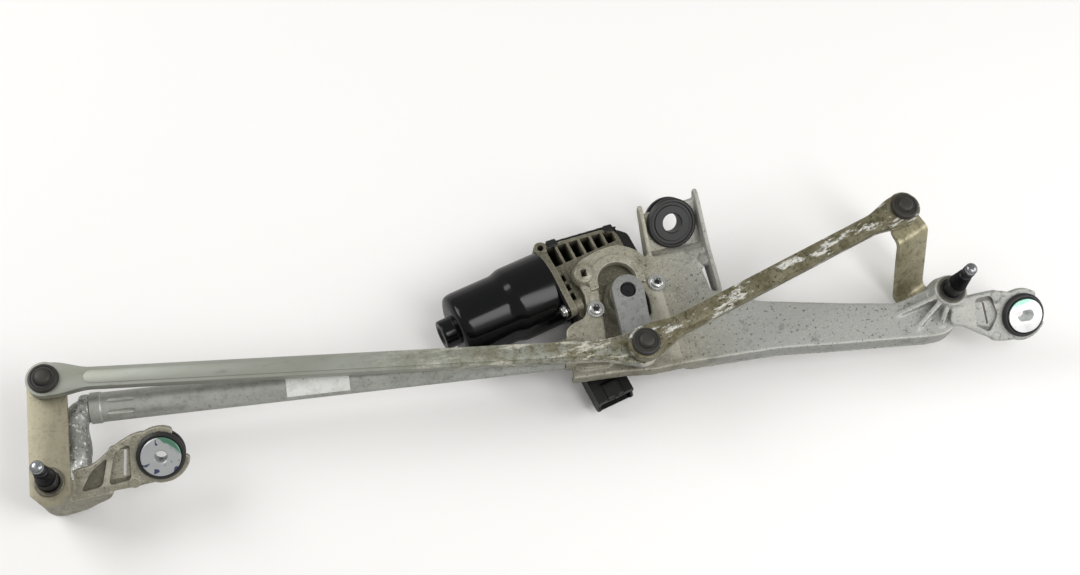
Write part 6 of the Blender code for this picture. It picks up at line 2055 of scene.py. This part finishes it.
@dataclass(frozen=True)
class Link:
    """Stamped steel link: a channel with softly drawn flanks, a pressed rib and two round paddles."""

    start: Point
    end: Point
    start_height: float
    end_height: float
    sheet: float = 2.2
    height: float = 8.0
    paddle: float = 13.0
    half: float = 7.5
    waist: float = 33.0
    above_ball: float = 1.8
    hole: float = 10.1

    def place(self) -> Matrix:
        """The link's frame: X along it, its upper face at zero.

        Returns:
            The frame.
        """
        run = Vector(self.end) - Vector(self.start)
        pitch = math.degrees(math.atan2(self.end_height - self.start_height, run.length))
        return (
            put(*self.start, self.start_height + self.above_ball)
            @ turn(math.degrees(math.atan2(run.y, run.x)), "Z") @ turn(-pitch, "Y"))

    def outline(self) -> Outline:
        """Plan of the link, its waists blended in long curves.

        Returns:
            The outline.
        """
        length = (Vector(self.end) - Vector(self.start)).length
        reach = math.degrees(math.acos(4.0 / self.paddle))
        upper = []
        for i in range(13):
            t = i / 12
            blend = t * t * (3 - 2 * t)
            tangent = self.paddle * math.sin(math.radians(reach))
            upper.append((5 + (self.waist - 5) * t, tangent + (self.half - tangent) * blend))
        left = arc((0, 0), self.paddle, reach, 360 - reach, 32)
        right = arc((length, 0), self.paddle, reach - 180, 180 - reach, 32)
        return (left + [(x, -y) for x, y in upper] + [(length - x, -y) for x, y in reversed(upper)] + right
                + [(length - x, y) for x, y in upper] + [(x, y) for x, y in reversed(upper)])

    def steel(self) -> Solid:
        """The stamped link.

        Returns:
            The link.
        """
        length = (Vector(self.end) - Vector(self.start)).length
        outline, place = self.outline(), self.place()
        shell = slab([outline], -self.height, 0, edge=1.9)
        room = slab([inset(outline, self.sheet)], -self.height - 3, -self.sheet, edge=0.8)
        rib_half = length / 2 - self.waist
        rib = slab([oblong(rib_half, 5.0, 16)], -1, 0.5, put(length / 2, 0, 0), 0.48)
        holes = [drum(self.hole, -12, 4), drum(self.hole, -12, 4, put(length, 0, 0))]
        piece = carved(carved(shell, [rib], Work.JOIN), [room, *holes])
        piece.data.transform(place)
        return piece


@dataclass(frozen=True)
class Linkage(Assembly):
    """Crank, two links with their nylon sockets, two levers and two knurled spindles."""

    lower: float = 9.0
    upper: float = 20.5
    shaft_hole: float = 6.3
    pin_hole: float = 5.2
    left: float = 7.8
    right: float = 20.3
    crank_bottom: float = -6.0
    crank_top: float = 1.0

    def crank(self) -> None:
        """Forged crank with its splined shaft end and its double ball stud."""
        radius, angle = self.layout.crank
        shaft, pin = put(*self.layout.shaft), put(*self.layout.pin())
        outline = rotated(capsule(radius, 12.5, 11, 40), angle, self.layout.shaft)
        arm = slab([outline], self.crank_bottom, self.crank_top, edge=1.0)
        arm = carved(arm, [drum(self.shaft_hole, -10, 8, shaft), drum(self.pin_hole, -10, 8, pin)])
        publish(arm, "forged_crank", "crank", self.finishes.crank, ["crank_arm"])
        stud = Ball().stud(1.3, [self.upper, self.lower], self.crank_bottom, pin)
        publish(
            stud, "double_ball_stud", "crank", self.finishes.bright_steel, ["crank_ball_stud"])

    def links(self) -> None:
        """Both links, their sockets and the lever studs."""
        pin, cap = self.layout.pin(), Cap()
        left, right = self.layout.left_ball(), self.layout.right_ball()
        first = Link(left, pin, self.left, self.lower)
        second = Link(pin, right, self.upper, self.right)
        finishes = self.finishes
        for name, link, slot, finish in (("left_link", first, "grey_steel", finishes.left_link),
                                         ("right_link", second, "olive_steel", finishes.right_link)):
            publish(link.steel(), name + "_steel", name, finish, [name + "_bar"])
        for name, body, ball, domed, place, node in (
                ("left_cap", "left_link", self.left, True, left, "left_outer_socket"),
                ("lower_crank_socket", "left_link", self.lower, False, pin, "left_crank_socket"),
                ("crank_cap", "right_link", self.upper, True, pin, "right_crank_socket"),
                ("right_cap", "right_link", self.right, True, right, "right_outer_socket")):
            publish(cap.socket(ball, domed, put(*place)), name, body, finishes.cap, [node])
        for side, foot, ball, place in (
            (Side.LEFT, -0.2, self.left, left), (Side.RIGHT, 12.3, self.right, right)):
            stud = Ball().stud(foot, [ball], None, put(*place))
            publish(stud, f"{side.value}_stud", f"{side.value}_link", finishes.bright_steel,
                    [f"{side.value}_ball_stud"])

    def levers(self) -> None:
        """The flat left lever and the twice-bent right one."""
        length, angle = self.layout.left_lever
        tail = [(-17, -5), (-8, -14), (length, -14)]
        outline = tail + arc((length, 0), 14, -80, 80, 32) + [(x, -y) for x, y in reversed(tail)]
        plate = slab([rotated(outline, angle)], -4.5, -0.5, edge=0.6)
        plate = carved(plate, [drum(self.shaft_hole, -8, 4)])
        publish(
            plate, "flat_left_lever", "left_lever", self.finishes.left_lever,
            ["left_lever_plate"])
        length, angle = self.layout.right_lever
        side = [(-23, -57), (27, -57), (53, 8), (84, 8), (84, 12), (50.3, 12), (24.3, -53), (-23, -53)]
        heading = put(self.layout.spacing, 0) @ turn(angle, "Z")
        bent = slab([filleted(side, 5, steps=6)], -18, 18, heading @ turn(90, "X"))
        plan_points = arc((0, 0), 13, 90, 270, 40) + arc((length, 0), 11.5, -80, 90, 40)
        plan = slab(
            [plan_points + filleted([(68, 13), (61, 17), (45, 17.5), (24, 16.5), (10, 13.2)], 5)], -60, 20,
            heading)
        bent = edged(carved(bent, [plan], Work.KEEP_INSIDE), 0.5, 2, 50)
        bent = carved(bent, [drum(self.shaft_hole, -60, -50, put(self.layout.spacing, 0))])
        publish(
            bent, "bent_right_lever", "right_lever", self.finishes.right_lever,
            ["right_lever_plate"])

    def spindle(self, side: Side, foot: float, bottom: float) -> None:
        """A spindle: shaft and collar, knurled cone, thread and bright tip.

        Args:
            side: Which end of the linkage.
            foot: Where its collar starts.
            bottom: Where its shaft ends.
        """
        place = put(0, 0) if side is Side.LEFT else put(self.layout.spacing, 0)
        body = f"{side.value}_lever"
        shaft = [
            (0, 30.4), (4.2, 30.4), (4.6, 30), (4.6, 14.6), (7.0, 14.6), (7.4, 14.2), (7.4, foot), (6, foot),
            (6, bottom + 0.6), (5.4, bottom), (0, bottom)]
        cone = knurl_tree().grow(
            {
                "Ridges": 32, "Top Radius": 5.4, "Bottom Radius": 7.2, "Height": 15.0, "Depth": 0.9,
                "Finish": self.finishes.dark_steel}, place=place @ put(0, 0, 15))
        thread = thread_tree().grow({"Turns": 9.0, "Radius": 4.45, "Height": 10.5, "Ridge": 0.5,
                                     "Finish": self.finishes.dark_steel}, place=place @ put(0, 0, 30.8))
        core = turned([(0, 44.2), (4.35, 44.2), (4.35, 29.6), (0, 29.6)], place)
        whole = merged([turned(shaft, place), cone, thread, core])
        publish(
            whole, f"{side.value}_spindle_steel", body, self.finishes.dark_steel,
            [f"{side.value}_spindle"])
        tip = [(0, 46), (1.6, 45.9), (3, 45.4), (4.1, 44.4), (4.7, 43.2), (4.8, 41.6), (4.4, 41.2), (0, 41.2)]
        publish(
            turned(tip, place), f"{side.value}_spindle_tip", body, self.finishes.bright_steel)

    def spindles(self) -> None:
        """Both spindles with their rings and washers."""
        self.spindle(Side.LEFT, -0.2, -59.6)
        self.spindle(Side.RIGHT, 0.6, -59.6)
        right = put(self.layout.spacing, 0)
        for name, node, place, corners, round_off in (
            (
                "left_ring", "left_spindle_ring", None, [(7.7, 2.8), (10.7, 2.8), (10.7, -0.2), (7.7, -0.2)],
                0.5),
            (
                "right_washer", "right_spindle_washer", right,
                [(9.4, 0.5), (11.4, 0.5), (11.4, -0.7), (9.4, -0.7)], 0.3)):
            publish(turned(filleted(corners, round_off), place, True), name, name.split("_")[0] + "_lever",
                    self.finishes.washer, [node])
        seal = filleted([(7.5, 0.5), (9.5, 0.2), (9.5, -0.7), (7.5, -0.7)], 0.2)
        publish(turned(seal, right, True), "right_seal", "right_lever", self.finishes.rubber)

    def build(self) -> None:
        """Makes and dresses the linkage."""
        self.crank()
        self.links()
        self.levers()
        self.spindles()


@dataclass(frozen=True)
class Inside:
    """The frame's own meshes that stay as they are and only get their finishes."""

    finishes: Finishes

    def build(self) -> None:
        """Dresses the pieces inside the motor, the gearbox and the bosses."""
        steel, bronze = self.finishes.dark_steel, self.finishes.bronze
        dress = {
            self.finishes.rubber: ["cover_seal"],
            bronze: [
                "output_bush", "left_upper_bush", "left_lower_bush", "right_upper_bush", "right_lower_bush",
                "rear_bearing", "front_bearing", "worm_end_bearing"],
            self.finishes.ferrite: ["upper_magnet", "lower_magnet"], self.finishes.plastic: ["brush_holder"],
            self.finishes.carbon: ["front_brush", "rear_brush"],
            steel: ["armature_shaft", "output_shaft", "left_circlip"],
            self.finishes.laminations: ["armature_core"],
            self.finishes.copper: ["armature_winding", "commutator"], self.finishes.acetal: ["worm_wheel"],
            self.finishes.washer: ["output_washer", "right_thrust_washer"],
        }
        for finish, names in dress.items():
            for name in names:
                for slot in frame["nodes"][name].material_slots:
                    slot.material = finish
            LOG.info("%s on %s", finish.name, ", ".join(names))


@dataclass(frozen=True)
class Studio:
    """Pale floor, soft lamps and the camera at the photograph's angle."""

    eye: tuple[float, float, float] = (-0.20543, -0.35817, 1.13277)
    sensor: float = 36.0
    right: tuple[float, float, float] = (0.96445, -0.24635, 0.09559)
    up: tuple[float, float, float] = (0.19580, 0.90915, 0.36756)
    lens: float = 50.0
    floor: str = "FAF9F8"
    shaded_floor: str = "CBCACA"
    floor_reach: float = 6.0
    aim: tuple[float, float, float] = (0.05, 0.0, 0.0)
    sky_colour: str = "F3F2EF"
    sky_strength: float = 0.5
    lamps: tuple[tuple[str, tuple[float, float, float], Point, float], ...] = (
        ("left_softbox", (-1.3, 0.9, 1.3), (1.2, 1.0), 17.0),
        ("right_softbox", (1.6, -0.5, 1.0), (1.2, 1.0), 11.0),
        ("can_softbox", (0.48, -0.57, 1.24), (0.32, 1.1), 6.2))

    def camera(self) -> None:
        """Sets up the camera."""
        data = bpy.data.cameras.new("photo_camera")
        data.lens, data.sensor_width, data.clip_start = self.lens, self.sensor, 0.01
        held = linked(data)
        right, up = Vector(self.right).normalized(), Vector(self.up).normalized()
        back = right.cross(up).normalized()
        held.matrix_world = Matrix(
            (
                (right.x, up.x, back.x, self.eye[0]), (right.y, up.y, back.y, self.eye[1]),
                (right.z, up.z, back.z, self.eye[2]), (0, 0, 0, 1)))
        bpy.context.scene.camera = held

    def lamp(self, name: str, place: Sequence[float], size: Point, power: float) -> None:
        """Adds a soft lamp that faces the object.

        Args:
            name: Its name.
            place: Where it hangs.
            size: Its width and height in metres.
            power: Its power in watts.
        """
        data = bpy.data.lights.new(name, "AREA")
        data.shape, data.size, data.size_y, data.energy = "RECTANGLE", size[0], size[1], power
        held = linked(data)
        held.location = place
        held.rotation_euler = (Vector(self.aim) - Vector(place)).to_track_quat("-Z", "Y").to_euler()

    def ground(self) -> None:
        """Lays the floor, which looks nearly white to the camera only."""
        mesh = bpy.data.meshes.new("studio_floor")
        far = self.floor_reach
        mesh.from_pydata([(-far, -far, 0), (far, -far, 0), (far, far, 0), (-far, far, 0)], [], [(0, 1, 2, 3)])
        paper = Ground("white_studio_paper")
        seen = add(paper.tree, "ShaderNodeLightPath", output="Is Camera Ray")
        colour = add(
            paper.tree, "ShaderNodeMix", {0: seen, 6: linear(self.shaded_floor), 7: linear(self.floor)}, 2,
            data_type="RGBA")
        mesh.materials.append(paper.done(Base_Color=colour, Roughness=0.9))
        linked(mesh)

    def sky(self) -> None:
        """Sets the even light of the room and the plain view transform."""
        world = bpy.context.scene.world or bpy.data.worlds.new("studio")
        bpy.context.scene.world = world
        world.use_nodes = True
        light = world.node_tree.nodes["Background"].inputs
        light["Color"].default_value = linear(self.sky_colour)
        light["Strength"].default_value = self.sky_strength
        bpy.context.scene.view_settings.view_transform = "Standard"

    def build(self) -> None:
        """Sets up floor, lamps, sky and camera."""
        self.ground()
        for lamp in self.lamps:
            self.lamp(*lamp)
        self.sky()
        self.camera()


def main() -> None:
    """Dresses the whole motor and sets up its studio."""
    layout = Layout()
    finishes = Finishes()
    for assembly in (
        LeftPivot(layout, finishes), MotorFrame(layout, finishes), FrameTube(layout, finishes),
        Gearbox(layout, finishes), MotorCan(layout, finishes), Mounts(layout, finishes),
        Screws(layout, finishes), Linkage(layout, finishes), Inside(finishes), Studio()):
        assembly.build()
        LOG.info("%s done", type(assembly).__name__)


if __name__ == "__main__":
    logging.basicConfig(level=logging.INFO, format="%(name)s: %(message)s")
    main()
